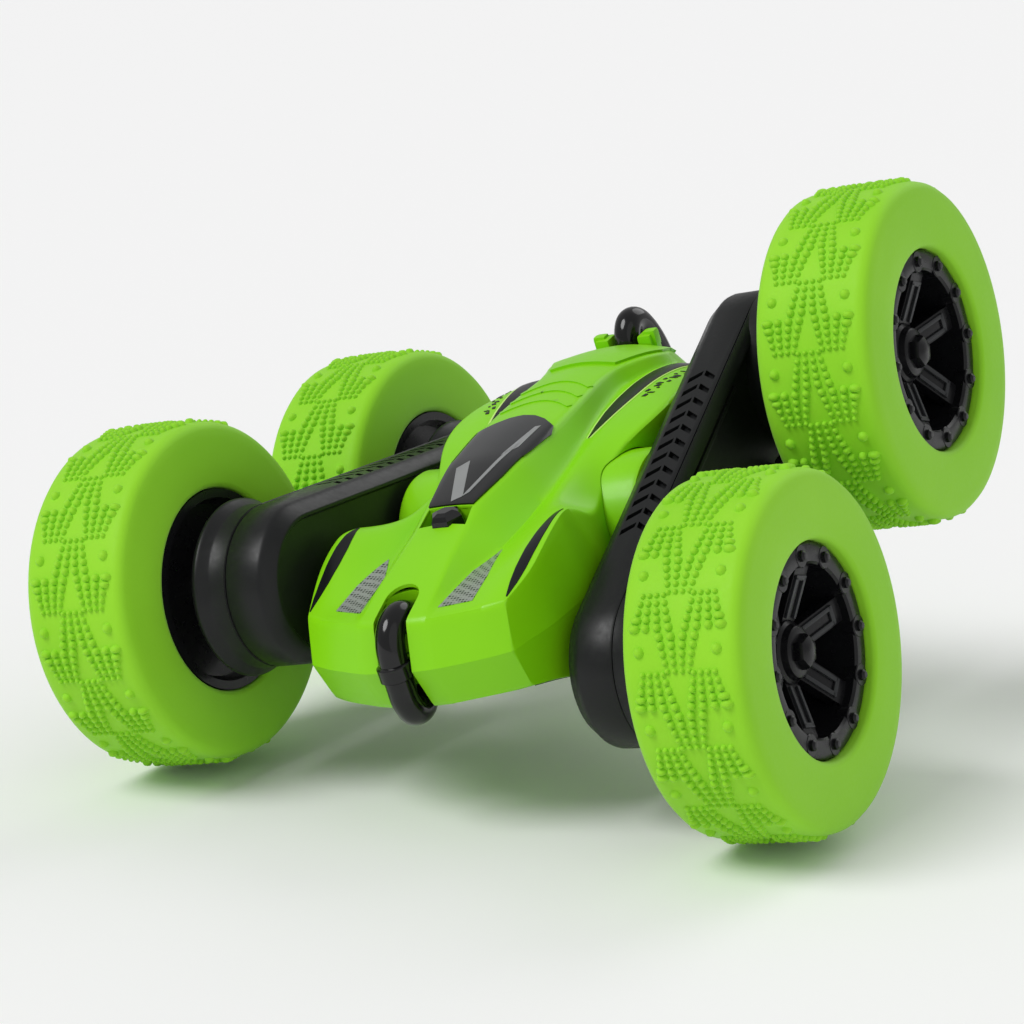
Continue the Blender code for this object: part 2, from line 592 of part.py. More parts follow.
def make_wheel(side, end, arm):
    """Tyre, rim, axle, gear and bolt. The wheel's empty is on its axle, at mid-width."""
    y = -WHEELBASE / 2 if end == "front" else WHEELBASE / 2
    name = f"{side}_{end}"
    wheel = empty(f"{name}_wheel_axis", arm, (0, y, TRACK / 2))
    half = WHEEL_WIDTH / 2
    bead = HUB_RADIUS + GAP
    side_radius = WHEEL_RADIUS - 2.6
    turned(f"{name}_tyre",
           [(side_radius, half), (WHEEL_RADIUS, TREAD_HALF), (WHEEL_RADIUS, -TREAD_HALF),
            (side_radius, -half), (bead, -half), (bead, TYRE_WALL - half),
            (WHEEL_RADIUS - TYRE_WALL, TYRE_WALL - half),
            (WHEEL_RADIUS - TYRE_WALL, half - TYRE_WALL), (bead, half - TYRE_WALL), (bead, half)],
           TYRE_GREEN, wheel, steps=32)
    bore = AXLE_RADIUS + GAP
    rim = turned(f"{name}_rim",
                 [(HUB_RADIUS, RIM_FACE), (HUB_RADIUS, 0.5 - half), (17, 0.5 - half),
                  (17, DISH_FLOOR - 2), (4.6, DISH_FLOOR - 2), (4.6, -5), (bore, -5),
                  (bore, BOSS_TOP), (4.6, BOSS_TOP), (5.2, DISH_FLOOR), (14.2, DISH_FLOOR),
                  (15, RIM_FACE)],
                 GLOSS_BLACK, wheel, steps=24)
    for i in range(SPOKES):
        turn = i * 2 * math.pi / SPOKES
        spoke = box(f"{name}_spoke_{i}", (3.9, -1.9, DISH_FLOOR - 0.8),
                    (15.5, 1.9, DISH_FLOOR + 1.4), None, wheel, rotation=(0, 0, turn))
        boolean(rim, spoke, "UNION")
    start = AXLE_INNER_END - TRACK / 2
    rod(f"{name}_axle", AXLE_RADIUS, start, BOSS_TOP, STEEL, wheel, sides=12)
    rod(f"{name}_wheel_bolt", 3.4, BOSS_TOP + GAP, BOSS_TOP + 2, BLACK, wheel, sides=6)
    gear(f"{name}_axle_gear", LARGE_TEETH, AXLE_RADIUS + GAP, 0, wheel,
         location=(0, 0, GEAR_FACE - TRACK / 2))


def wheel_centre(side, end):
    """A wheel's centre in the arms' mean frame: X across, -Y to the nose, Z up."""
    swing = math.radians(-ARM_SWING if side < 0 else ARM_SWING)
    y = end * WHEELBASE / 2
    return Vector((side * TRACK / 2, y * math.cos(swing), y * math.sin(swing)))


def floor_rotation():
    """The turn that puts the left wheels and the right front wheel on a level floor."""
    left_front, left_rear, right_front = (
        wheel_centre(*which) for which in ((-1, -1), (-1, 1), (1, -1)))
    up = (right_front - left_front).cross(left_rear - left_front).normalized()
    across = Vector((0, 1, 0)).cross(up).normalized()
    return Matrix((across, up.cross(across), up)).to_4x4()


def stand_on_floor(car):
    """Moves the car so that its box is centred on the origin and its lowest point is at 0."""
    bpy.context.view_layer.update()
    graph = bpy.context.evaluated_depsgraph_get()
    points = []
    for item in PARTS.objects:
        if item.type != "EMPTY":
            solid = item.evaluated_get(graph)
            points += [solid.matrix_world @ v.co for v in solid.to_mesh().vertices]
    low = Vector(min(p[i] for p in points) for i in range(3))
    high = Vector(max(p[i] for p in points) for i in range(3))
    middle = (low + high) / 2
    car.location -= Vector((middle.x, middle.y, low.z))


clear_scene()
PARTS = new_collection(COLLECTION)
CUTTERS = new_collection(f"{COLLECTION}_cutters")
CUTTERS.hide_render = True

car_frame = empty("car_frame")
car_frame.matrix_world = floor_rotation()
make_body(empty("chassis", car_frame, rotation=(-math.radians(BODY_PITCH), 0, 0)))
for arm_side, outwards in (("left", -math.pi / 2), ("right", math.pi / 2)):
    angle = math.radians(-ARM_SWING if arm_side == "left" else ARM_SWING)
    arm_axis = empty(f"{arm_side}_arm_axis", car_frame)
    arm_axis.rotation_euler = (
        Matrix.Rotation(angle, 3, "X") @ Matrix.Rotation(outwards, 3, "Y")).to_euler()
    make_arm(arm_side, arm_axis)
    for arm_end in ("front", "rear"):
        make_wheel(arm_side, arm_end, arm_axis)
for thing in PARTS.objects:
    if thing.type == "MESH":
        thing.data.shade_smooth()
        thing.data.set_sharp_from_angle(angle=math.radians(35))
stand_on_floor(car_frame)
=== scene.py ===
"""Looks of the double-sided stunt car: studded tyres, moulded rims, slotted arms, bodywork."""

import json
import math

import bmesh
import bpy
from mathutils import Matrix, Vector


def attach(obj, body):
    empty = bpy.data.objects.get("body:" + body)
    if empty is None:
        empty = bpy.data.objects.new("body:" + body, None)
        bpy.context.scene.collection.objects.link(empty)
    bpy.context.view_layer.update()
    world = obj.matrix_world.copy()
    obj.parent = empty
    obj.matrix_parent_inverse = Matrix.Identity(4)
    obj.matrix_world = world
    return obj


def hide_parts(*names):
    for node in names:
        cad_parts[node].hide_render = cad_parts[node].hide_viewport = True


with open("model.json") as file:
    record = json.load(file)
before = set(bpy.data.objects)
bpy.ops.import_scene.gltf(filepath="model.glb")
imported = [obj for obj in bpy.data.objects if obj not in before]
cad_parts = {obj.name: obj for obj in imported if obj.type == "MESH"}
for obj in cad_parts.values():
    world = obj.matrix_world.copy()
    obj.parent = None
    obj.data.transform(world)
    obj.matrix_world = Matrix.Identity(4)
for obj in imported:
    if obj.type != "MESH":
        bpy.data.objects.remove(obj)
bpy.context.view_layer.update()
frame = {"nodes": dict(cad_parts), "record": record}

MM = 0.001
TAU = 2 * math.pi

# Wheel, in millimetres from its middle outwards
TREAD_BASE = 31.05
BEAD_RADIUS = 18.7
TREAD_PERIODS = 15
RIM_RADIUS = 18.5
RIM_FACE = 9.6
DISH_FLOOR = 1.6
RIM_BOLTS = 12
SPOKES = 6

# Arm, outwards from the car's middle
ARM_RADIUS = 15.0
CASE_FACE = 26.5
CASE_SEAM = 36.3
COVER_FACE = 38.1
BARREL_FACE = 43.4
COLLAR_RADIUS = 16.3
SLOTS = 12
SLOT_PITCH = 3.6

# Body
SHELL = 0.6
NOTCH_Y = -50.8
NOTCH_HALF = 3.4
BOSS_RADIUS = 12.3
# Where the long lines of the body's upper face are sampled, and the lines: (y, x, z) from nose
# to tail. The first and last points of a line lie on the parting plane.
STATIONS = (-48, -44, -40, -36, -32.4, -30.4, -28, -25.5, -23, -20.5, -17.7, -14, -10, -5, 0,
            5, 10, 15, 20, 25, 30, 35, 40, 44.5)
RAILS = {
    "spine": [(-59.6, 0, 0), (-56.6, 0, 8.4), (-50, 0, 10.6), (-43, 0, 12.6), (-37, 0, 14.3),
              (-32.4, 0, 15.4), (-28, 0, 17.2), (-14, 0, 19.8), (2, 0, 20.9), (19, 0, 21.2),
              (28, 0, 21.2), (36, 0, 20.4), (43, 0, 18.9), (49, 0, 15), (54, 0, 0)],
    "spine_edge": [(-59, 6.4, 0), (-56, 6.4, 8.3), (-50, 6.8, 10.4), (-43, 6, 12.4),
                   (-37, 5.6, 14.1), (-32.4, 5.4, 15.2), (-28, 5.4, 16.9), (-14, 7.6, 19),
                   (-2, 8.4, 19.8), (12, 8.4, 20.1), (22, 7.6, 20.1), (27, 8, 19.6),
                   (32, 10.6, 18.8), (37, 12.8, 18), (41, 12.4, 16.4), (47, 8.5, 14.4),
                   (53, 8, 0)],
    "valley": [(-58.7, 8, 0), (-55.7, 8, 8.3), (-51.5, 7.9, 8.9), (-41, 9, 9.7),
               (-34, 11.2, 10.2), (-24, 12, 11.1), (-13, 12.2, 12.6), (-2, 11.6, 13.9),
               (8, 10.4, 15.1), (17, 9.4, 15.9), (25, 9.4, 16.4), (32, 12, 16.4),
               (38, 14.2, 15.2), (43, 13.4, 12.6), (48, 11.5, 9.6), (52.5, 12, 0)],
    "fender_inner": [(-56.6, 14.8, 0), (-53.7, 14.8, 8.2), (-43.6, 14.2, 9.7),
                     (-35, 14.8, 11.2), (-27, 15.6, 12.6), (-18, 15, 13), (-8, 14, 13.6),
                     (2, 13.4, 14.9), (12, 14, 16.3), (24, 15.2, 17), (34, 17, 16.2),
                     (42, 16.2, 12.6), (49, 14.8, 8), (51.5, 14.8, 0)],
    "shoulder": [(-55, 18.4, 0), (-52.1, 18.4, 8.2), (-44, 18.8, 10.9), (-39, 18.9, 12.3),
                 (-34, 19, 13.3), (-28, 19.4, 13.8), (-24, 18.8, 13.2), (-21, 18.2, 12),
                 (-17.5, 17.6, 10.2), (-13, 17, 9.8), (-8, 16.6, 11.6), (-2, 16.4, 13.4),
                 (4, 17, 15), (12, 18.8, 16.2), (24, 19.2, 16.8), (34, 19.4, 15.4),
                 (42, 18, 12), (49, 16.6, 7.4), (51, 16.6, 0)],
    "fender_crest": [(-53.7, 21, 0), (-50.9, 20.6, 8.1), (-44, 22.7, 10.2), (-39, 23.4, 12.5),
                     (-34, 23.5, 14.2), (-29.6, 23.3, 14.8), (-26.5, 22.4, 14.1),
                     (-23.4, 21.8, 12.5), (-20.8, 21.4, 10.9), (-17.7, 21, 8.6),
                     (-13, 19.8, 7.2), (-8, 18.6, 9), (-3, 18.6, 12), (2, 20.6, 14.2),
                     (8, 23, 15.2), (15, 23.9, 15.8), (23, 23.3, 16), (32, 21.8, 14.4),
                     (40, 20, 11.4), (48, 17.5, 6.5), (50, 18, 0)],
    "side": [(-53.7, 21, 0), (-52.3, 20.8, 4), (-42, 23.8, 5), (-32, 25.2, 6), (-26, 24.6, 6),
             (-19, 22, 4.6), (-13, 20, 4), (-4, 18.4, 5), (4, 18.4, 5.4), (12, 22.4, 7),
             (20, 25, 7.6), (30, 25, 7), (40, 22.6, 5.6), (49, 18, 3), (50, 18, 0)],
    "parting": [(-53.7, 21, 0), (-53.7, 21, 0), (-44, 24, 0), (-32, 25.5, 0), (-24, 24.8, 0),
                (-17, 22, 0), (-12, 19.5, 0), (4, 18.4, 0), (12, 21.5, 0), (20, 25, 0),
                (30, 25.2, 0), (40, 23, 0), (50, 18, 0), (50, 18, 0)],
}
CANOPY = [(0, -27.9), (4.7, -27.9), (6.6, -19), (8, -10), (8.7, -3.4), (8.2, -1.2), (5.5, 1.2),
          (2.8, 2.7), (0, 3.2)]
WELL = [(-4.9, -32.6), (0, -32.1), (4.9, -32.6), (4.6, -28.2), (-4.6, -28.2)]
WELL_FLOOR = 13.1
PLUG_Y = -30.3
FRONT_LOOP = [(-49.6, 5), (-51, 7), (-53.4, 7.9), (-56.2, 7.2), (-58.2, 4.6), (-58.9, 0.6),
              (-59, -2.6), (-58.9, -5.6), (-57.6, -8.2), (-55, -8.6), (-52.6, -6.6)]
REAR_LOOP = [(46.2, 15), (46.6, 18.2), (49, 20.4), (52.4, 19.2), (55.6, 14), (57.4, 7),
             (58, 0)]
LOOP_RADIUS = 2.6

# Light from the surroundings, and the camera: angles in degrees, distance in metres
AMBIENT = 0.44
VIEW_ANGLES = (34.119, 21.666, -19.304)
VIEW_DISTANCE = 0.6098

# The joints in the record give every local frame
JOINTS = {j["name"]: j for j in frame["record"]["behaviour"]["joints"]}
ACROSS = Vector(JOINTS["right_arm_swing"]["axis"]).normalized()
PIVOT = Vector(JOINTS["right_arm_swing"]["pos_m"])


def local_frame(origin, x, y, z):
    made = Matrix((x, y, z)).transposed().to_4x4()
    made.translation = origin
    return made


def arm_directions(side):
    """Rearward, outward and third directions of one arm."""
    outward = ACROSS if side == "right" else -ACROSS
    front, rear = (Vector(JOINTS[f"{side}_{end}_wheel_spin"]["pos_m"]) for end in ("front", "rear"))
    along = (rear - front).normalized()
    return along.cross(outward), along, outward


def arm_frame(side):
    return local_frame(PIVOT, *arm_directions(side))


def wheel_frame(side, end):
    return local_frame(Vector(JOINTS[f"{side}_{end}_wheel_spin"]["pos_m"]), *arm_directions(side))


def mean_frame():
    """Between the two arms: X across, Y to the rear, Z up from the body."""
    along = (arm_directions("left")[1] + arm_directions("right")[1]).normalized()
    return local_frame(PIVOT, ACROSS, along, ACROSS.cross(along))


BODY_ALONG = Vector(JOINTS["switch_slide"]["axis"]).normalized()
BODY = local_frame(PIVOT, ACROSS, BODY_ALONG, ACROSS.cross(BODY_ALONG))
HALF_BASE = (Vector(JOINTS["left_rear_wheel_spin"]["pos_m"])
             - Vector(JOINTS["left_front_wheel_spin"]["pos_m"])).length / MM / 2


# ---------------------------------------------------------------- materials

def new_material(name):
    made = bpy.data.materials.new(name)
    made.use_nodes = True
    return made, made.node_tree, made.node_tree.nodes["Principled BSDF"]


def noise(tree, scale, detail):
    coords = tree.nodes.new("ShaderNodeTexCoord")
    made = tree.nodes.new("ShaderNodeTexNoise")
    made.inputs["Scale"].default_value = scale
    made.inputs["Detail"].default_value = detail
    made.inputs["Roughness"].default_value = 0.55
    tree.links.new(coords.outputs["Object"], made.inputs["Vector"])
    return made


def spread(tree, source, low, high):
    """A Map Range from a noise's useful band to the range low..high."""
    made = tree.nodes.new("ShaderNodeMapRange")
    made.inputs["From Min"].default_value = 0.3
    made.inputs["From Max"].default_value = 0.7
    made.inputs["To Min"].default_value = low
    made.inputs["To Max"].default_value = high
    tree.links.new(source, made.inputs["Value"])
    return made.outputs["Result"]


def two_colours(tree, source, first, second):
    ramp = tree.nodes.new("ShaderNodeValToRGB")
    ramp.color_ramp.elements[0].position = 0.3
    ramp.color_ramp.elements[0].color = (*first, 1)
    ramp.color_ramp.elements[1].position = 0.7
    ramp.color_ramp.elements[1].color = (*second, 1)
    tree.links.new(source, ramp.inputs["Fac"])
    return ramp.outputs["Color"]


def moulded(name, first, second, rough, bump, grain=900, coat=0.0, metallic=0.0, sheen=0.0,
            shine=0.3):
    """A plastic, rubber or metal: colour that varies slowly, and a fine grain."""
    made, tree, shader = new_material(name)
    broad = noise(tree, 28, 3)
    fine = noise(tree, grain, 5)
    tree.links.new(two_colours(tree, broad.outputs["Fac"], first, second),
                   shader.inputs["Base Color"])
    tree.links.new(spread(tree, fine.outputs["Fac"], rough[0], rough[1]),
                   shader.inputs["Roughness"])
    height = tree.nodes.new("ShaderNodeBump")
    height.inputs["Strength"].default_value = bump
    height.inputs["Distance"].default_value = 0.00012
    tree.links.new(fine.outputs["Fac"], height.inputs["Height"])
    tree.links.new(height.outputs["Normal"], shader.inputs["Normal"])
    shader.inputs["Metallic"].default_value = metallic
    shader.inputs["Specular IOR Level"].default_value = shine
    shader.inputs["Coat Weight"].default_value = coat
    shader.inputs["Coat Roughness"].default_value = 0.12
    if sheen:
        shader.inputs["Sheen Weight"].default_value = sheen
        shader.inputs["Sheen Roughness"].default_value = 0.5
    return made


def meshed_silver():
    """Woven silver foil of the headlight stickers."""
    made, tree, shader = new_material("headlight_mesh")
    coords = tree.nodes.new("ShaderNodeTexCoord")
    cells = tree.nodes.new("ShaderNodeTexVoronoi")
    cells.inputs["Scale"].default_value = 1500
    cells.inputs["Randomness"].default_value = 0.15
    tree.links.new(coords.outputs["Object"], cells.inputs["Vector"])
    ramp = tree.nodes.new("ShaderNodeValToRGB")
    ramp.color_ramp.elements[0].position = 0.25
    ramp.color_ramp.elements[0].color = (0.03, 0.045, 0.025, 1)
    ramp.color_ramp.elements[1].position = 0.5
    ramp.color_ramp.elements[1].color = (0.40, 0.44, 0.39, 1)
    tree.links.new(cells.outputs["Distance"], ramp.inputs["Fac"])
    tree.links.new(ramp.outputs["Color"], shader.inputs["Base Color"])
    shader.inputs["Metallic"].default_value = 0.55
    shader.inputs["Roughness"].default_value = 0.35
    return made


def graded(name, low_colour, high_colour, low, high, rough):
    """A glossy material that fades between two colours over a stretch of the body, in mm."""
    made, tree, shader = new_material(name)
    coords = tree.nodes.new("ShaderNodeTexCoord")
    along = tree.nodes.new("ShaderNodeVectorMath")
    along.operation = "DOT_PRODUCT"
    along.inputs[1].default_value = BODY_ALONG
    tree.links.new(coords.outputs["Object"], along.inputs[0])
    place = tree.nodes.new("ShaderNodeMapRange")
    place.inputs["From Min"].default_value = low * MM + PIVOT.dot(BODY_ALONG)
    place.inputs["From Max"].default_value = high * MM + PIVOT.dot(BODY_ALONG)
    tree.links.new(along.outputs["Value"], place.inputs["Value"])
    grain = noise(tree, 1200, 3)
    mixed = tree.nodes.new("ShaderNodeMath")
    mixed.operation = "MULTIPLY_ADD"
    mixed.inputs[1].default_value = 0.12
    tree.links.new(grain.outputs["Fac"], mixed.inputs[0])
    tree.links.new(place.outputs["Result"], mixed.inputs[2])
    ramp = tree.nodes.new("ShaderNodeValToRGB")
    ramp.color_ramp.elements[0].color = (*low_colour, 1)
    ramp.color_ramp.elements[1].color = (*high_colour, 1)
    tree.links.new(mixed.outputs["Value"], ramp.inputs["Fac"])
    tree.links.new(ramp.outputs["Color"], shader.inputs["Base Color"])
    shader.inputs["Roughness"].default_value = rough
    shader.inputs["Specular IOR Level"].default_value = 0.25
    shader.inputs["Coat Weight"].default_value = 0.3
    shader.inputs["Coat Roughness"].default_value = 0.06
    return made


LIME = moulded("lime_abs", (0.225, 0.640, 0.002), (0.250, 0.675, 0.004), (0.32, 0.40), 0.04,
               coat=0.06)
RUBBER = moulded("lime_rubber", (0.262, 0.640, 0.016), (0.300, 0.690, 0.024), (0.50, 0.62), 0.22,
                 grain=1500, sheen=0.08, shine=0.2)
ARM_BLACK = moulded("arm_black_abs", (0.006, 0.0065, 0.007), (0.011, 0.0115, 0.012),
                    (0.30, 0.42), 0.08, shine=0.25)
RIM_BLACK = moulded("rim_black_abs", (0.003, 0.003, 0.004), (0.006, 0.006, 0.007),
                    (0.26, 0.34), 0.03, coat=0.05, shine=0.25)
GLOSS_BLACK = moulded("gloss_black_abs", (0.003, 0.003, 0.0035), (0.006, 0.006, 0.0065),
                      (0.10, 0.15), 0.01, coat=0.3, shine=0.25)
SPOKE_GREY = moulded("spoke_inlay", (0.020, 0.021, 0.023), (0.032, 0.034, 0.036),
                     (0.30, 0.40), 0.08)
STICKER_BLACK = moulded("sticker_black", (0.004, 0.0045, 0.005), (0.008, 0.009, 0.010),
                        (0.28, 0.34), 0.03, coat=0.05, shine=0.2)
STICKER_SILVER = moulded("sticker_silver", (0.30, 0.31, 0.31), (0.44, 0.45, 0.45),
                         (0.30, 0.42), 0.10, grain=2500, metallic=0.5)
STICKER_PALE = moulded("sticker_pale_lime", (0.50, 0.80, 0.16), (0.58, 0.86, 0.22),
                       (0.3, 0.4), 0.04)
HEADLIGHT = meshed_silver()
CANOPY_SMOKE = graded("canopy_smoke", (0.002, 0.002, 0.0025), (0.028, 0.03, 0.032), -26,
                      14, 0.14)
STEEL = moulded("turned_steel", (0.48, 0.48, 0.49), (0.60, 0.60, 0.61), (0.22, 0.34), 0.10,
                metallic=1.0)
NYLON = moulded("white_nylon", (0.70, 0.69, 0.64), (0.80, 0.79, 0.74), (0.42, 0.52), 0.08)
BOARD = moulded("solder_mask", (0.010, 0.14, 0.04), (0.016, 0.19, 0.06), (0.3, 0.4), 0.10)
WRAP = moulded("cell_wrap", (0.03, 0.10, 0.42), (0.04, 0.13, 0.50), (0.25, 0.35), 0.05,
               coat=0.4)


# ---------------------------------------------------------------- mesh helpers

def piece(name, bm, where, material, body, replaces=(), sharp=40.0):
    """A finished piece from a mesh in millimetres in a local frame."""
    return finish(placed(name, bm, where), material, body, replaces, sharp)


def placed(name, bm, where):
    """An object at the origin whose mesh lies in its place, as the CAD nodes have it."""
    bm.transform(where @ Matrix.Scale(MM, 4))
    mesh = bpy.data.meshes.new(name)
    bm.to_mesh(mesh)
    bm.free()
    made = bpy.data.objects.new(name, mesh)
    bpy.context.scene.collection.objects.link(made)
    return made


def finish(made, material, body, replaces=(), sharp=40.0):
    """Gives an object its materials, shading, body and the CAD nodes it replaces."""
    for one in (material if isinstance(material, list) else [material]):
        made.data.materials.append(one)
    made.data.shade_smooth()
    made.data.set_sharp_from_angle(angle=math.radians(sharp))
    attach(made, body)
    if replaces:
        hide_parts(*replaces)
    return made


def lathe(bm, profile, steps, closed=True):
    """Turns (radius, height) points about local Z into the mesh. Points run so that the
    outer side goes downwards; a radius of 0 closes on the axis."""
    rings = []
    for radius, height in profile:
        if radius == 0:
            rings.append([bm.verts.new((0, 0, height))])
        else:
            rings.append([bm.verts.new((radius * math.cos(TAU * i / steps),
                                        radius * math.sin(TAU * i / steps), height))
                          for i in range(steps)])
    pairs = list(zip(rings, rings[1:]))
    if closed:
        pairs.append((rings[-1], rings[0]))
    for upper, lower in pairs:
        for i in range(steps):
            j = (i + 1) % steps
            if len(upper) == 1:
                corners = (upper[0], lower[i], lower[j])
            elif len(lower) == 1:
                corners = (upper[i], lower[0], upper[j])
            else:
                corners = (upper[i], lower[i], lower[j], upper[j])
            bm.faces.new(corners)


def rounded(points, radius):
    """The closed outline with each corner rounded by an arc-like curve."""
    made = []
    pieces = 3
    count = len(points)
    for i, corner in enumerate(points):
        corner = Vector(corner)
        before, after = Vector(points[i - 1]), Vector(points[(i + 1) % count])
        cut_a = min(radius, (before - corner).length * 0.45)
        cut_b = min(radius, (after - corner).length * 0.45)
        a = corner + (before - corner).normalized() * cut_a
        b = corner + (after - corner).normalized() * cut_b
        for step in range(pieces + 1):
            t = step / pieces
            made.append(tuple(a * (1 - t) ** 2 + corner * 2 * t * (1 - t) + b * t ** 2))
    return made


def block(bm, low, high, bevel=0.25, turn=Matrix.Identity(4), material=0):
    """A box with rounded edges."""
    made = bmesh.ops.create_cube(bm, size=1)["verts"]
    size = [b - a for a, b in zip(low, high)]
    middle = [(a + b) / 2 for a, b in zip(low, high)]
    bmesh.ops.scale(bm, vec=size, verts=made)
    bmesh.ops.translate(bm, vec=middle, verts=made)
    edges = list({e for v in made for e in v.link_edges})
    out = bmesh.ops.bevel(bm, geom=edges, offset=bevel, segments=2, affect="EDGES", profile=0.7)
    verts = {v for f in out["faces"] for v in f.verts}
    stack = list(verts)
    while stack:
        for edge in stack.pop().link_edges:
            for v in edge.verts:
                if v not in verts:
                    verts.add(v)
                    stack.append(v)
    bmesh.ops.transform(bm, matrix=turn, verts=list(verts))
    for v in verts:
        for f in v.link_faces:
            f.material_index = material


def prism(bm, outline, low, high):
    """A closed outline in local XY extruded along Z."""
    bottom = [bm.verts.new((x, y, low)) for x, y in outline]
    top = [bm.verts.new((x, y, high)) for x, y in outline]
    count = len(outline)
    bm.faces.new(bottom[::-1])
    bm.faces.new(top)
    for i in range(count):
        j = (i + 1) % count
        bm.faces.new((bottom[i], bottom[j], top[j], top[i]))


def half_ring(radius, back_to_front=False):
    """Half a circle about the notch's rear end, from its right side to its left."""
    turns = [math.pi * i / 12 for i in range(13)]
    if back_to_front:
        turns.reverse()
    return [(radius * math.cos(t), NOTCH_Y + radius * math.sin(t)) for t in turns]


def cut(made, others):
    """Cuts each helper mesh out of the object, then removes the helpers."""
    for other in others:
        change = made.modifiers.new("cut", "BOOLEAN")
        change.operation = "DIFFERENCE"
        change.solver = "EXACT"
        change.object = other
    bpy.context.view_layer.update()
    graph = bpy.context.evaluated_depsgraph_get()
    mesh = bpy.data.meshes.new_from_object(made.evaluated_get(graph))
    made.modifiers.clear()
    made.data = mesh
    for other in others:
        bpy.data.objects.remove(other)


def helper(name, bm, where):
    """A mesh in millimetres that only cuts."""
    bmesh.ops.recalc_face_normals(bm, faces=bm.faces)
    return placed(name, bm, where)


# ---------------------------------------------------------------- tyres

def tyre_profile():
    """One side of the carcass from the bead to the middle of the tread: (radius, height)."""
    return [(BEAD_RADIUS, 8.2), (BEAD_RADIUS, 10.3), (19.0, 10.9), (19.8, 11.12), (23.5, 11.15),
            (27.6, 11.1), (29.3, 10.95), (30.1, 10.6), (30.7, 9.9), (30.95, 9.0), (31.0, 7.4),
            (TREAD_BASE, 4.0), (TREAD_BASE, 0)]


def tread_radius(x):
    points = [(h, r) for r, h in tyre_profile() if r > 29]
    points.sort()
    for (h0, r0), (h1, r1) in zip(points, points[1:]):
        if abs(x) <= h1:
            return r0 + (r1 - r0) * (abs(x) - h0) / (h1 - h0)
    return points[-1][1]


def stud(bm, x, turn, width, height, long=1.0):
    """A small round-topped cone standing on the tread."""
    sides = 8
    base = tread_radius(x)
    out = Vector((math.cos(turn), math.sin(turn), 0))
    around = Vector((-math.sin(turn), math.cos(turn), 0))
    across = Vector((0, 0, 1))
    rings = []
    for share, lift in ((1.08, -0.3), (1.0, 0.0), (0.80, 0.55), (0.52, 0.90)):
        centre = out * (base + lift * height) + across * x
        rings.append([bm.verts.new(centre + around * (width * share * math.cos(TAU * i / sides))
                                   + across * (width * share * long * math.sin(TAU * i / sides)))
                      for i in range(sides)])
    tip = bm.verts.new(out * (base + height) + across * x)
    bm.faces.new(rings[0])
    for low, high in zip(rings, rings[1:]):
        for i in range(sides):
            j = (i + 1) % sides
            bm.faces.new((low[i], high[i], high[j], low[j]))
    for i in range(sides):
        bm.faces.new((rings[-1][i], tip, rings[-1][(i + 1) % sides]))


def tread(bm, direction):
    """Rows of fans: two narrowing at the shoulders, one widening between them."""
    period = TAU / TREAD_PERIODS
    for k in range(TREAD_PERIODS):
        start = k * period
        for row in range(5):
            t = row / 4
            side_turn = start + direction * period * (0.02 + 0.42 * t)
            middle_turn = start + direction * period * (0.47 + 0.43 * t)
            for column in (-1.5, -0.5, 0.5, 1.5):
                pitch = 2.15 - 0.85 * t
                width = 0.80 - 0.28 * t
                for side in (-1, 1):
                    x = side * 4.75 + column * pitch
                    long = 1.5 if abs(x) > 7.6 else 1.0
                    stud(bm, x, side_turn, width, 0.92 - 0.25 * t, long)
                pitch = 1.35 + 0.85 * t
                width = 0.52 + 0.28 * t
                stud(bm, column * pitch, middle_turn, width, 0.67 + 0.25 * t)
        for side in (-1, 1):
            stud(bm, side * 7.2, start + direction * period * 0.72, 1.0, 0.85)


def make_tyre(side, end):
    bm = bmesh.new()
    half = tyre_profile()
    lathe(bm, half + [(r, -h) for r, h in reversed(half[:-1])], 120)
    tread(bm, 1 if (side, end) == ("right", "rear") else -1)
    bmesh.ops.recalc_face_normals(bm, faces=bm.faces)
    name = f"{side}_{end}"
    piece(f"{name}_studded_tyre", bm, wheel_frame(side, end), RUBBER, f"{name}_wheel",
          [f"{name}_tyre"], sharp=60)


# ---------------------------------------------------------------- rims

def rim_spoke(bm, turn):
    """A plate rising from the hub to the ring, with a raised U on it."""
    slope = math.atan2(2.7, 7.5)
    place = (Matrix.Rotation(turn, 4, "Z") @ Matrix.Translation((5.2, 0, 4.3))
             @ Matrix.Rotation(-slope, 4, "Y"))
    block(bm, (-0.6, -2.3, -2.2), (10.4, 2.3, 0), 0.25, place)
    for y in (-1.35, 1.35):
        block(bm, (0.6, y - 0.42, -0.3), (7.9, y + 0.42, 0.42), 0.18, place, 1)
    block(bm, (7.3, -1.77, -0.3), (8.2, 1.77, 0.42), 0.18, place, 1)


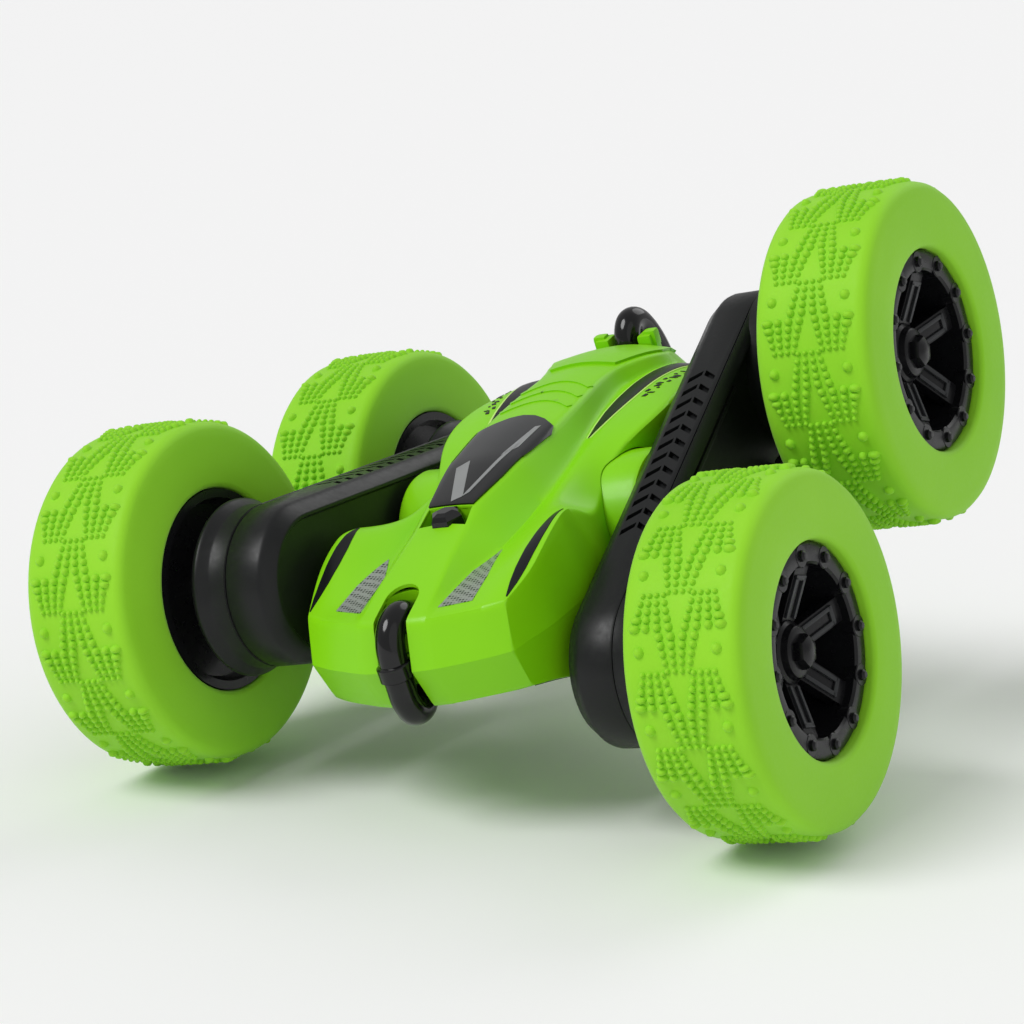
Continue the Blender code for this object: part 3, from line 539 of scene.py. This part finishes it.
def make_rim(side, end):
    name = f"{side}_{end}"
    bm = bmesh.new()
    profile = [(RIM_RADIUS, RIM_FACE - 0.7), (RIM_RADIUS, -10.6), (16.9, -10.6), (16.7, -9.8),
               (15.9, -8.2), (4.4, -8.0), (4.2, -8.6), (2.3, -8.6), (2.3, 6.4), (3.9, 6.4),
               (4.4, 6.1), (4.8, 5.0), (5.4, 4.6), (5.6, DISH_FLOOR), (14.2, DISH_FLOOR),
               (14.6, 3.0), (14.7, RIM_FACE - 0.5), (15.1, RIM_FACE - 0.05),
               (15.6, RIM_FACE), (17.6, RIM_FACE), (18.2, RIM_FACE - 0.2)]
    lathe(bm, profile, 72)
    for i in range(SPOKES):
        rim_spoke(bm, i * TAU / SPOKES)
    for i in range(RIM_BOLTS):
        turn = (i + 0.5) * TAU / RIM_BOLTS
        part = bmesh.new()
        lathe(part, [(0, 0.95), (0.55, 0.9), (0.95, 0.55), (1.0, 0.1), (1.9, 0.1), (2.05, -0.1),
                     (2.05, -2.2), (0, -2.2)], 14, closed=False)
        bmesh.ops.translate(part, verts=part.verts,
                            vec=(16.35 * math.cos(turn), 16.35 * math.sin(turn), RIM_FACE))
        join(bm, part)
    part = bmesh.new()
    lathe(part, [(0, 8.6), (1.6, 8.5), (2.7, 8.0), (3.1, 7.2), (3.1, 6.0), (0, 6.0)], 6,
          closed=False)
    join(bm, part)
    bmesh.ops.recalc_face_normals(bm, faces=bm.faces)
    where = wheel_frame(side, end)
    swing = mean_frame().to_3x3().col[1]
    local = where.to_3x3().inverted() @ swing
    turn = math.atan2(local.y, local.x)
    piece(f"{name}_spoked_rim", bm, where @ Matrix.Rotation(turn, 4, "Z"),
          [RIM_BLACK, SPOKE_GREY], f"{name}_wheel",
          [f"{name}_rim", f"{name}_wheel_bolt"], sharp=35)


def join(bm, part):
    """Moves one mesh into another."""
    mesh = bpy.data.meshes.new("part")
    part.to_mesh(mesh)
    part.free()
    bm.from_mesh(mesh)
    bpy.data.meshes.remove(mesh)


# ---------------------------------------------------------------- arms

def stadium(radius, sides=28):
    turns = [math.pi * i / sides for i in range(sides + 1)]
    rear = [(radius * math.cos(t), HALF_BASE + radius * math.sin(t)) for t in turns]
    return rear + [(-x, -y) for x, y in rear]


def stadium_skin(bm, levels):
    """A closed body through stadium outlines at rising heights: (radius, height)."""
    loops = [[bm.verts.new((x, y, height)) for x, y in stadium(radius)]
             for radius, height in levels]
    for lower, upper in zip(loops, loops[1:]):
        for i in range(len(lower)):
            j = (i + 1) % len(lower)
            bm.faces.new((lower[i], lower[j], upper[j], upper[i]))
    bm.faces.new(loops[0][::-1])
    bm.faces.new(loops[-1])


def chevron(bm, y, flip):
    """Cutters for one pair of slanted slots in an arm's narrow side."""
    for low, high, lean in ((29.9, 32.4, 1), (32.9, 35.4, -1)):
        corners = [(low, y - 0.7 - 0.9 * lean), (low, y + 0.7 - 0.9 * lean),
                   (high, y + 0.6 + 0.9 * lean), (high, y - 0.6 + 0.9 * lean)]
        bottom = [bm.verts.new((flip * (ARM_RADIUS - 1.1), v, z)) for z, v in corners]
        top = [bm.verts.new((flip * (ARM_RADIUS + 2), v, z)) for z, v in corners]
        bm.faces.new(bottom[::-1])
        bm.faces.new(top)
        for i in range(4):
            j = (i + 1) % 4
            bm.faces.new((bottom[i], bottom[j], top[j], top[i]))


def make_case(side):
    bm = bmesh.new()
    stadium_skin(bm, [(ARM_RADIUS - 3.8, CASE_FACE + 0.6), (ARM_RADIUS - 3.5, CASE_FACE + 0.6),
                      (ARM_RADIUS - 3.3, CASE_FACE + 0.3), (ARM_RADIUS - 3.0, CASE_FACE),
                      (ARM_RADIUS - 2.6, CASE_FACE), (ARM_RADIUS - 2.3, CASE_FACE + 0.1),
                      (ARM_RADIUS - 0.9, CASE_FACE + 1.9), (ARM_RADIUS - 0.45, CASE_FACE + 2.4),
                      (ARM_RADIUS - 0.2, CASE_FACE + 3.2), (ARM_RADIUS - 0.1, CASE_SEAM - 0.4),
                      (ARM_RADIUS - 0.3, CASE_SEAM)])
    where = arm_frame(side)
    cutters = bmesh.new()
    for k in range(SLOTS):
        for flip in (-1, 1):
            chevron(cutters, (k - (SLOTS - 1) / 2) * SLOT_PITCH, flip)
    made = piece(f"{side}_slotted_case", bm, where, ARM_BLACK, f"{side}_arm",
                 [f"{side}_arm_case"])
    cut(made, [helper("slots", cutters, where)])
    tube = bmesh.new()
    lathe(tube, [(5.0, CASE_FACE + 1.2), (5.0, 12.6), (4.7, 12.3), (3.3, 12.3),
                 (3.3, CASE_FACE + 1.2)], 40)
    bmesh.ops.recalc_face_normals(tube, faces=tube.faces)
    piece(f"{side}_pivot_tube", tube, where, ARM_BLACK, f"{side}_arm")


def make_cover(side):
    where = arm_frame(side)
    bm = bmesh.new()
    stadium_skin(bm, [(ARM_RADIUS - 0.3, CASE_SEAM + 0.2), (ARM_RADIUS - 0.1, CASE_SEAM + 0.5),
                      (ARM_RADIUS - 0.4, COVER_FACE - 1.0), (ARM_RADIUS - 1.6, COVER_FACE),
                      (ARM_RADIUS - 2.4, COVER_FACE), (ARM_RADIUS - 2.9, COVER_FACE - 0.9)])
    for y in (-HALF_BASE, HALF_BASE):
        part = bmesh.new()
        profile = [(0, BARREL_FACE), (COLLAR_RADIUS - 1.2, BARREL_FACE),
                   (COLLAR_RADIUS - 0.5, BARREL_FACE - 0.3), (COLLAR_RADIUS, BARREL_FACE - 1.0),
                   (COLLAR_RADIUS, 41.9), (COLLAR_RADIUS - 0.3, 41.5), (15.1, 40.2),
                   (ARM_RADIUS - 0.12, 39.7), (ARM_RADIUS - 0.12, CASE_SEAM + 0.3),
                   (0, CASE_SEAM + 0.3)]
        lathe(part, profile, 80, closed=False)
        bmesh.ops.translate(part, verts=part.verts, vec=(0, y, 0))
        join(bm, part)
    pod = -HALF_BASE / 2
    block(bm, (-8, pod - 8.6, COVER_FACE - 1.2), (8, pod + 8.6, 43.6), 1.2)
    for x in (-11.2, 11.2):
        block(bm, (x - 0.5, -20, COVER_FACE - 1.2), (x + 0.5, 20, COVER_FACE - 0.2), 0.2)
    bmesh.ops.recalc_face_normals(bm, faces=bm.faces)
    piece(f"{side}_barrelled_cover", bm, where, ARM_BLACK, f"{side}_arm",
          [f"{side}_arm_cover"])


# ---------------------------------------------------------------- bodywork

def rail_point(rail, y):
    inner = RAILS[rail][1:-1]
    for (y0, x0, z0), (y1, x1, z1) in zip(inner, inner[1:]):
        if y <= y1:
            t = (y - y0) / (y1 - y0)
            return x0 + (x1 - x0) * t, z0 + (z1 - z0) * t
    return inner[-1][1:]


def cage():
    """The upper skin, both halves, as a creased cage in body millimetres."""
    names = list(RAILS)

    def edge_row(k):
        return [Vector((x, y, z)) for y, x, z in (RAILS[n][k] for n in names)]

    rows = [edge_row(0), edge_row(1)]
    for y in STATIONS:
        rows.append([Vector((x, y, z)) for x, z in (rail_point(n, y) for n in names)])
    rows += [edge_row(-2), edge_row(-1)]
    bm = bmesh.new()
    crease = bm.edges.layers.float.new("crease_edge")
    left = [[bm.verts.new((-p.x, p.y, p.z)) for p in row[:0:-1]] for row in rows]
    right = [[bm.verts.new(p) for p in row] for row in rows]
    grid = [a + b for a, b in zip(left, right)]
    for low, high in zip(grid, grid[1:]):
        for a, b, c, d in zip(low, low[1:], high[1:], high):
            bm.faces.new((a, b, c, d))
    last_column = len(grid[0]) - 1
    crest, edge, valley = (2, last_column - 2), (6, last_column - 6), (5, last_column - 5)

    def mark(a, b, weight):
        found = bm.edges.get((a, b))
        if found:
            found[crease] = weight

    last = len(grid) - 1
    for r, row in enumerate(grid):
        for c in range(len(row)):
            if r in (0, 1, last - 1, last) and c + 1 < len(row):
                mark(row[c], row[c + 1], 1.0 if r in (0, last) else 0.85)
            if r < last:
                y = row[c].co.y
                weight = 0
                if c in crest:
                    weight = 0.85 if y < -27 else 0.45
                elif c in edge:
                    weight = 0.85 if y < -31 or y > 23 else 0.5
                elif c in valley:
                    weight = 0.7 if y < -20 or y > 20 else 0.4
                elif c in (0, last_column):
                    weight = 1.0
                if weight:
                    mark(row[c], grid[r + 1][c], weight)
    bmesh.ops.remove_doubles(bm, verts=bm.verts, dist=1e-4)
    return bm


def smooth_skin():
    """The upper skin after subdivision, as a mesh in body millimetres."""
    bm = cage()
    mesh = bpy.data.meshes.new("skin")
    bm.to_mesh(mesh)
    bm.free()
    holder = bpy.data.objects.new("skin", mesh)
    bpy.context.scene.collection.objects.link(holder)
    smooth = holder.modifiers.new("smooth", "SUBSURF")
    smooth.levels = smooth.render_levels = 3
    smooth.boundary_smooth = "PRESERVE_CORNERS"
    bpy.context.view_layer.update()
    graph = bpy.context.evaluated_depsgraph_get()
    made = bpy.data.meshes.new_from_object(holder.evaluated_get(graph))
    bpy.data.objects.remove(holder)
    return made


SKIN = smooth_skin()


def skin_copy(sign):
    """The skin as a new mesh, mirrored to the underside when sign is negative."""
    bm = bmesh.new()
    bm.from_mesh(SKIN)
    if sign < 0:
        bmesh.ops.scale(bm, vec=(1, 1, -1), verts=bm.verts)
        bmesh.ops.reverse_faces(bm, faces=bm.faces)
    bm.normal_update()
    return bm


def make_shell(label, sign):
    """One half shell, with its notch, pivot holes, plug well and, below, door and switch."""
    made = placed(f"{label}_bodywork", skin_copy(sign), BODY)
    wall = made.modifiers.new("wall", "SOLIDIFY")
    wall.thickness = SHELL * MM
    wall.offset = -1
    wall.use_even_offset = True
    cutters = []
    for side in (-1, 1):
        bm = bmesh.new()
        lathe(bm, [(0, 40), (BOSS_RADIUS + 0.25, 40), (BOSS_RADIUS + 0.25, 11), (0, 11)], 64,
              closed=False)
        bmesh.ops.transform(bm, matrix=Matrix.Rotation(side * math.pi / 2, 4, "Y"),
                            verts=bm.verts)
        cutters.append(helper("pivot_hole", bm, BODY))
    bm = bmesh.new()
    prism(bm, half_ring(NOTCH_HALF) + [(-NOTCH_HALF, -70), (NOTCH_HALF, -70)], -20, 20)
    cutters.append(helper("notch", bm, BODY))
    bm = bmesh.new()
    prism(bm, WELL, *sorted((10 * sign, 30 * sign)))
    cutters.append(helper("well_hole", bm, BODY))
    if sign < 0:
        bm = bmesh.new()
        prism(bm, rounded([(-7.6, 5.8), (7.6, 5.8), (7.6, 30.2), (-7.6, 30.2)], 0.8), -30, -12)
        cutters.append(helper("door_seat", bm, BODY))
        bm = bmesh.new()
        prism(bm, rounded([(-1.6, 33.5), (1.6, 33.5), (1.6, 40.1), (-1.6, 40.1)], 0.5), -30, -12)
        cutters.append(helper("switch_slot", bm, BODY))
    cut(made, cutters)
    finish(made, LIME, "chassis", [f"{label}_shell"], 38)


def well(label, sign):
    """The green cup that the plug sits in, below the canopy."""
    bm = bmesh.new()
    middle = sum(y for _, y in WELL) / len(WELL)
    wide = [(x * 1.18, middle + (y - middle) * 1.32) for x, y in WELL]

    def ring(outline, height, rise=0.0):
        return [bm.verts.new((x, y, height + rise * (y - WELL[0][1]))) for x, y in outline]

    loops = [ring(wide, WELL_FLOOR - 0.8), ring(wide, 14.9, 0.36), ring(WELL, 14.9, 0.36),
             ring(WELL, WELL_FLOOR)]
    for low, high in zip(loops, loops[1:]):
        for i in range(len(low)):
            j = (i + 1) % len(low)
            bm.faces.new((low[i], low[j], high[j], high[i]))
    bm.faces.new(loops[0])
    bm.faces.new(loops[-1])
    if sign < 0:
        bmesh.ops.scale(bm, vec=(1, 1, -1), verts=bm.verts)
    bmesh.ops.recalc_face_normals(bm, faces=bm.faces)
    piece(f"{label}_plug_well", bm, BODY, LIME, "chassis")


def notch_liner(label, sign):
    """The green wall and floor of the slot that the loop comes out of."""
    bm = bmesh.new()
    outer = 4.4
    front = -54.6
    ring_out, ring_in = half_ring(outer), half_ring(NOTCH_HALF, back_to_front=True)
    outline = (ring_out + [(-outer, front), (-NOTCH_HALF, front)] + ring_in
               + [(NOTCH_HALF, front), (outer, front)])
    prism(bm, outline, *sorted((0.2 * sign, 8.2 * sign)))
    prism(bm, ring_out + ring_in, *sorted((0.2 * sign, 9.9 * sign)))
    prism(bm, half_ring(NOTCH_HALF) + [(-NOTCH_HALF, -51.6), (NOTCH_HALF, -51.6)],
          *sorted((0.2 * sign, 5.2 * sign)))
    bmesh.ops.recalc_face_normals(bm, faces=bm.faces)
    piece(f"{label}_notch_wall", bm, BODY, LIME, "chassis")


def patch(sign, outline, lift, depth):
    """The part of the skin inside a convex (x, y) outline, lifted off it and given depth.

    lift is how far its top stands proud of the skin; depth is its thickness downwards."""
    bm = skin_copy(sign)
    centre = Vector((sum(x for x, _ in outline) / len(outline),
                     sum(y for _, y in outline) / len(outline), 0))
    far = max((Vector((x, y, 0)) - centre).length for x, y in outline) + 6
    away = [f for f in bm.faces
            if (Vector((*f.calc_center_median().xy, 0)) - centre).length > far
            or f.normal.z * sign < 0.05]
    bmesh.ops.delete(bm, geom=away, context="FACES")
    count = len(outline)
    for i in range(count):
        a, b = Vector((*outline[i], 0)), Vector((*outline[(i + 1) % count], 0))
        normal = (b - a).cross(Vector((0, 0, 1)))
        if normal.dot(a - centre) < 0:
            normal = -normal
        if normal.length < 1e-6:
            continue
        bmesh.ops.bisect_plane(bm, geom=bm.verts[:] + bm.edges[:] + bm.faces[:], dist=1e-5,
                               plane_co=a, plane_no=normal.normalized(), clear_outer=True)
    bm.normal_update()
    moves = [(v, v.normal * lift) for v in bm.verts]
    for v, move in moves:
        v.co += move
    bm.normal_update()
    top = list(bm.faces)
    downs = {v: v.normal * -depth for v in bm.verts}
    copied = bmesh.ops.duplicate(bm, geom=bm.verts[:] + bm.edges[:] + top)
    twin = copied["vert_map"]
    lower = [f for f in copied["geom"] if isinstance(f, bmesh.types.BMFace)]
    for v, down in downs.items():
        twin[v].co += down
    bmesh.ops.reverse_faces(bm, faces=lower)
    for edge in [e for f in top for e in f.edges if len(e.link_faces) == 1]:
        a, b = edge.verts
        face = edge.link_faces[0]
        corners = [loop.vert for loop in face.loops]
        if corners[(corners.index(a) + 1) % len(corners)] is b:
            a, b = b, a
        bm.faces.new((a, b, twin[b], twin[a]))
    return bm


def put_patch(name, sign, outlines, lift, depth, material, replaces=()):
    """One piece made of patches over several convex outlines."""
    bm = bmesh.new()
    for outline in outlines:
        join(bm, patch(sign, outline, lift, depth))
    bmesh.ops.remove_doubles(bm, verts=bm.verts, dist=2e-3)
    bmesh.ops.recalc_face_normals(bm, faces=bm.faces)
    piece(name, bm, BODY, material, "chassis", replaces, sharp=50)


def ribbon(points):
    """Convex quads along a line of (x, y, half_width) points."""
    sides = []
    for i, (x, y, half) in enumerate(points):
        before = Vector(points[max(i - 1, 0)][:2])
        after = Vector(points[min(i + 1, len(points) - 1)][:2])
        across = (after - before).normalized()
        across = Vector((-across.y, across.x))
        centre = Vector((x, y))
        sides.append((tuple(centre - across * half), tuple(centre + across * half)))
    return [[a[0], b[0], b[1], a[1]] for a, b in zip(sides, sides[1:])]


def mirror_all(outlines):
    return [[(-x, y) for x, y in reversed(o)] for o in outlines]


SIDES = (("right", list), ("left", mirror_all))


def dress(label, sign):
    """Canopy, headlights, stripes and chips on one face of the body."""
    canopy = CANOPY + [(-x, y) for x, y in reversed(CANOPY[1:-1])]
    put_patch(f"{label}_glazed_canopy", sign, [canopy], 0.35, 1.2, CANOPY_SMOKE,
              [f"{label}_canopy"])
    angle = [[(-0.2, -27.2), (1.6, -25.8), (-2.6, -14), (-4.6, -16)],
             [(1.4, -26), (2.4, -24.6), (5.4, -8), (4.2, -10)],
             [(3.4, -13), (5.6, -10), (6.2, -1.8), (5.2, -2.2)]]
    put_patch(f"{label}_canopy_graphic", sign, angle, 0.43, 0.2, STICKER_SILVER)
    light = [(8.1, -52.6), (14.2, -50.9), (13.7, -43.6), (12, -34.4), (9.3, -41)]
    for word, turn in SIDES:
        put_patch(f"{label}_{word}_headlight", sign, turn([light]), 0.12, 0.3, HEADLIGHT)
    slit = [(20.5, -49.9, 0.1), (20.6, -46.6, 0.7), (20.7, -43.3, 1.05), (20.9, -38.6, 1.25),
            (21.2, -34.2, 1.15), (21.5, -30.4, 0.75), (21.7, -26.8, 0.1)]
    crescent = [(11.9, 3.5, 0.1), (12.2, 8, 0.9), (12.6, 13, 1.6), (13.2, 18, 2.0),
                (14, 24, 2.1), (15, 30, 2.1), (16.4, 36, 1.9), (16.8, 39, 1.7)]
    rim = [(x, y, half + 0.45) for x, y, half in crescent]
    for word, turn in SIDES:
        put_patch(f"{label}_{word}_fender_slit", sign, turn(ribbon(slit)), 0.12, 0.3,
                  STICKER_BLACK)
        put_patch(f"{label}_{word}_crescent_edge", sign, turn(ribbon(rim)), 0.10, 0.3,
                  STICKER_PALE)
        put_patch(f"{label}_{word}_crescent", sign, turn(ribbon(crescent)), 0.18, 0.3,
                  STICKER_BLACK)
        put_patch(f"{label}_{word}_chips", sign, turn(chips()), 0.12, 0.3, STICKER_BLACK)


def chips():
    """Scattered torn-edge marks on the rear fender."""
    made = []
    for k in range(15):
        x = 17.4 + 0.22 * k + 0.8 * math.sin(k * 2.4)
        y = 18 + 1.05 * k
        a, b = 0.55 + 0.25 * math.sin(k * 1.7), 0.38 + 0.16 * math.cos(k * 2.9)
        lean = 0.6 * math.sin(k * 3.1)
        made.append([(x - a, y - b + lean * 0.3), (x + a * 0.5, y - b), (x + a, y + b * 0.4),
                     (x - a * 0.2, y + b)])
    return made


def make_top_details():
    """The vents and the rear block, which only the upper face has."""
    vents = []
    for y in (8.0, 12.4, 16.8):
        across = [-7.6 + 1.9 * i for i in range(9)]
        vents += ribbon([(x, y - 0.055 * x ** 2 + 2.4, 0.55) for x in across])
    put_patch("upper_vents", 1, vents, 0.22, 0.6, LIME)
    outline = [(-7.2, 27.6), (7.2, 27.6), (11.8, 38), (10.8, 44), (-10.8, 44), (-11.8, 38)]
    put_patch("upper_rear_block", 1, [outline], 0.5, 1.0, LIME)


def make_details():
    """Plug, lugs, notch and plug well of both faces."""
    for label, sign in (("upper", 1), ("lower", -1)):
        bm = bmesh.new()
        lathe(bm, [(0, 17.3), (1.6, 17.3), (2.7, 16.9), (3.2, 16.1), (3.3, 15.2),
                   (3.3, WELL_FLOOR), (0, WELL_FLOOR)], 6, closed=False)
        if sign < 0:
            bmesh.ops.scale(bm, vec=(1, 1, -1), verts=bm.verts)
        bmesh.ops.translate(bm, vec=(0, PLUG_Y, 0), verts=bm.verts)
        bmesh.ops.recalc_face_normals(bm, faces=bm.faces)
        piece(f"{label}_faceted_plug", bm, BODY, GLOSS_BLACK, "chassis",
              [f"{label}_hood_plug"], sharp=20)
        for word, side in (("left", -1), ("right", 1)):
            bm = bmesh.new()
            low, high = sorted((side * 3.2, side * 6.2))
            block(bm, (low, 44.4, 13.4), (high, 48.2, 18.8), 0.7)
            low, high = sorted((side * 4.2, side * 6.9))
            block(bm, (low, 45.2, 16.0), (high, 47.4, 19.4), 0.7)
            if sign < 0:
                bmesh.ops.scale(bm, vec=(1, 1, -1), verts=bm.verts)
            bmesh.ops.recalc_face_normals(bm, faces=bm.faces)
            piece(f"{label}_{word}_lug", bm, BODY, LIME, "chassis")
        notch_liner(label, sign)
        well(label, sign)


def smooth_line(points, pieces):
    ends = [points[0], *points, points[-1]]
    line = []
    for a, b, c, d in zip(ends, ends[1:], ends[2:], ends[3:]):
        for step in range(pieces):
            t = step / pieces
            line.append(tuple(
                0.5 * (2 * q + (r - p) * t + (2 * p - 5 * q + 4 * r - s) * t ** 2
                       + (3 * q - p - 3 * r + s) * t ** 3)
                for p, q, r, s in zip(a, b, c, d)))
    return line + [points[-1]]


def loop(name, points, node):
    """A polished bar swept along the body's middle plane."""
    line = [Vector((0, y, z)) for y, z in smooth_line(points, 8)]
    sides = 28
    bm = bmesh.new()
    rings = []
    for i, point in enumerate(line):
        ahead = (line[min(i + 1, len(line) - 1)] - line[max(i - 1, 0)]).normalized()
        across = Vector((1, 0, 0))
        other = ahead.cross(across)
        rings.append([bm.verts.new(point + (across * math.cos(TAU * k / sides)
                                            + other * math.sin(TAU * k / sides)) * LOOP_RADIUS)
                      for k in range(sides)])
    for low, high in zip(rings, rings[1:]):
        for k in range(sides):
            j = (k + 1) % sides
            bm.faces.new((low[k], low[j], high[j], high[k]))
    bm.faces.new(rings[0])
    bm.faces.new(rings[-1])
    if node == "front_loop":
        part = bmesh.new()
        lathe(part, [(LOOP_RADIUS + 0.1, 1.5), (LOOP_RADIUS + 0.55, 1.2),
                     (LOOP_RADIUS + 0.55, -1.2), (LOOP_RADIUS + 0.1, -1.5),
                     (LOOP_RADIUS - 0.6, -1.5), (LOOP_RADIUS - 0.6, 1.5)], 40)
        bmesh.ops.translate(part, vec=(0, -58.95, 0.3), verts=part.verts)
        join(bm, part)
    bmesh.ops.recalc_face_normals(bm, faces=bm.faces)
    piece(name, bm, BODY, GLOSS_BLACK, "chassis", [node], sharp=50)


def make_boss(side):
    """The round green end of the body that the arm turns against."""
    bm = bmesh.new()
    lathe(bm, [(5.3, 25.7), (BOSS_RADIUS - 1.0, 25.7), (BOSS_RADIUS - 0.3, 25.4),
               (BOSS_RADIUS, 24.7), (BOSS_RADIUS, 14), (5.3, 14)], 96)
    bmesh.ops.recalc_face_normals(bm, faces=bm.faces)
    turn = math.pi / 2 if side == "right" else -math.pi / 2
    piece(f"{side}_boss_ring", bm, BODY @ Matrix.Rotation(turn, 4, "Y"), LIME, "chassis",
          [f"{side}_pivot_boss"])


# ---------------------------------------------------------------- carried-over CAD nodes

CARRIED = {"battery": WRAP, "battery_door": LIME, "circuit_board": BOARD,
           "power_switch": ARM_BLACK, "switch_housing": ARM_BLACK}


def dress_carried():
    """New materials in the slots of the CAD nodes that stay visible."""
    for name, made in frame["nodes"].items():
        if name in CARRIED:
            finish_of = CARRIED[name]
        elif name.endswith("_gear"):
            finish_of = NYLON
        elif "arm" in name:
            finish_of = RIM_BLACK
        else:
            finish_of = STEEL
        for slot in made.material_slots:
            slot.material = finish_of


# ---------------------------------------------------------------- stage

def make_stage():
    bpy.ops.mesh.primitive_plane_add(size=8, location=(0, 0, -0.0002))
    floor = bpy.context.object
    floor.name = "floor"
    made, _, shader = new_material("floor_white")
    shader.inputs["Base Color"].default_value = (0.93, 0.93, 0.93, 1)
    shader.inputs["Roughness"].default_value = 0.9
    floor.data.materials.append(made)
    world = bpy.data.worlds.new("studio")
    bpy.context.scene.world = world
    world.use_nodes = True
    tree = world.node_tree
    path = tree.nodes.new("ShaderNodeLightPath")
    strength = tree.nodes.new("ShaderNodeMapRange")
    strength.inputs["To Min"].default_value = AMBIENT
    strength.inputs["To Max"].default_value = 1.0
    tree.links.new(path.outputs["Is Camera Ray"], strength.inputs["Value"])
    tree.nodes["Background"].inputs["Color"].default_value = (1, 1, 1, 1)
    tree.links.new(strength.outputs["Result"], tree.nodes["Background"].inputs["Strength"])


def lamp(name, come_from, strength, softness):
    """A broad distant light, so that the floor is lit evenly."""
    data = bpy.data.lights.new(name, "SUN")
    data.energy = strength
    data.angle = math.radians(softness)
    made = bpy.data.objects.new(name, data)
    bpy.context.scene.collection.objects.link(made)
    made.rotation_euler = Vector(come_from).to_track_quat("Z", "Y").to_euler()


def make_camera():
    azimuth, elevation, roll = (math.radians(a) for a in VIEW_ANGLES)
    back = Vector((math.sin(azimuth) * math.cos(elevation),
                   -math.cos(azimuth) * math.cos(elevation), math.sin(elevation)))
    right = Vector((math.cos(azimuth), math.sin(azimuth), 0))
    up = back.cross(right)
    rolled_right = right * math.cos(roll) + up * math.sin(roll)
    rolled_up = up * math.cos(roll) - right * math.sin(roll)
    local = local_frame(back * VIEW_DISTANCE, rolled_right, rolled_up, back)
    data = bpy.data.cameras.new("camera")
    data.lens = 115.38
    data.sensor_width = 36
    data.shift_x = -0.0354
    data.shift_y = 0.0119
    data.clip_start = 0.01
    camera = bpy.data.objects.new("camera", data)
    bpy.context.scene.collection.objects.link(camera)
    camera.matrix_world = mean_frame() @ local
    bpy.context.scene.camera = camera


make_camera()
make_stage()
lamp("key", (-0.5, -0.7, 1.0), 1.7, 30)
lamp("fill", (0.9, -0.6, 0.5), 0.25, 60)
lamp("back", (0.2, 0.9, 0.7), 0.5, 40)
bpy.context.scene.view_settings.view_transform = "Standard"
for arm_side in ("left", "right"):
    make_case(arm_side)
    make_cover(arm_side)
    make_boss(arm_side)
    for wheel_end in ("front", "rear"):
        make_tyre(arm_side, wheel_end)
        make_rim(arm_side, wheel_end)
for face_label, face_sign in (("upper", 1), ("lower", -1)):
    make_shell(face_label, face_sign)
    dress(face_label, face_sign)
make_top_details()
make_details()
loop("front_bumper_loop", FRONT_LOOP, "front_loop")
loop("rear_bumper_loop", REAR_LOOP + [(y, -z) for y, z in reversed(REAR_LOOP[:-1])],
     "rear_loop")
dress_carried()
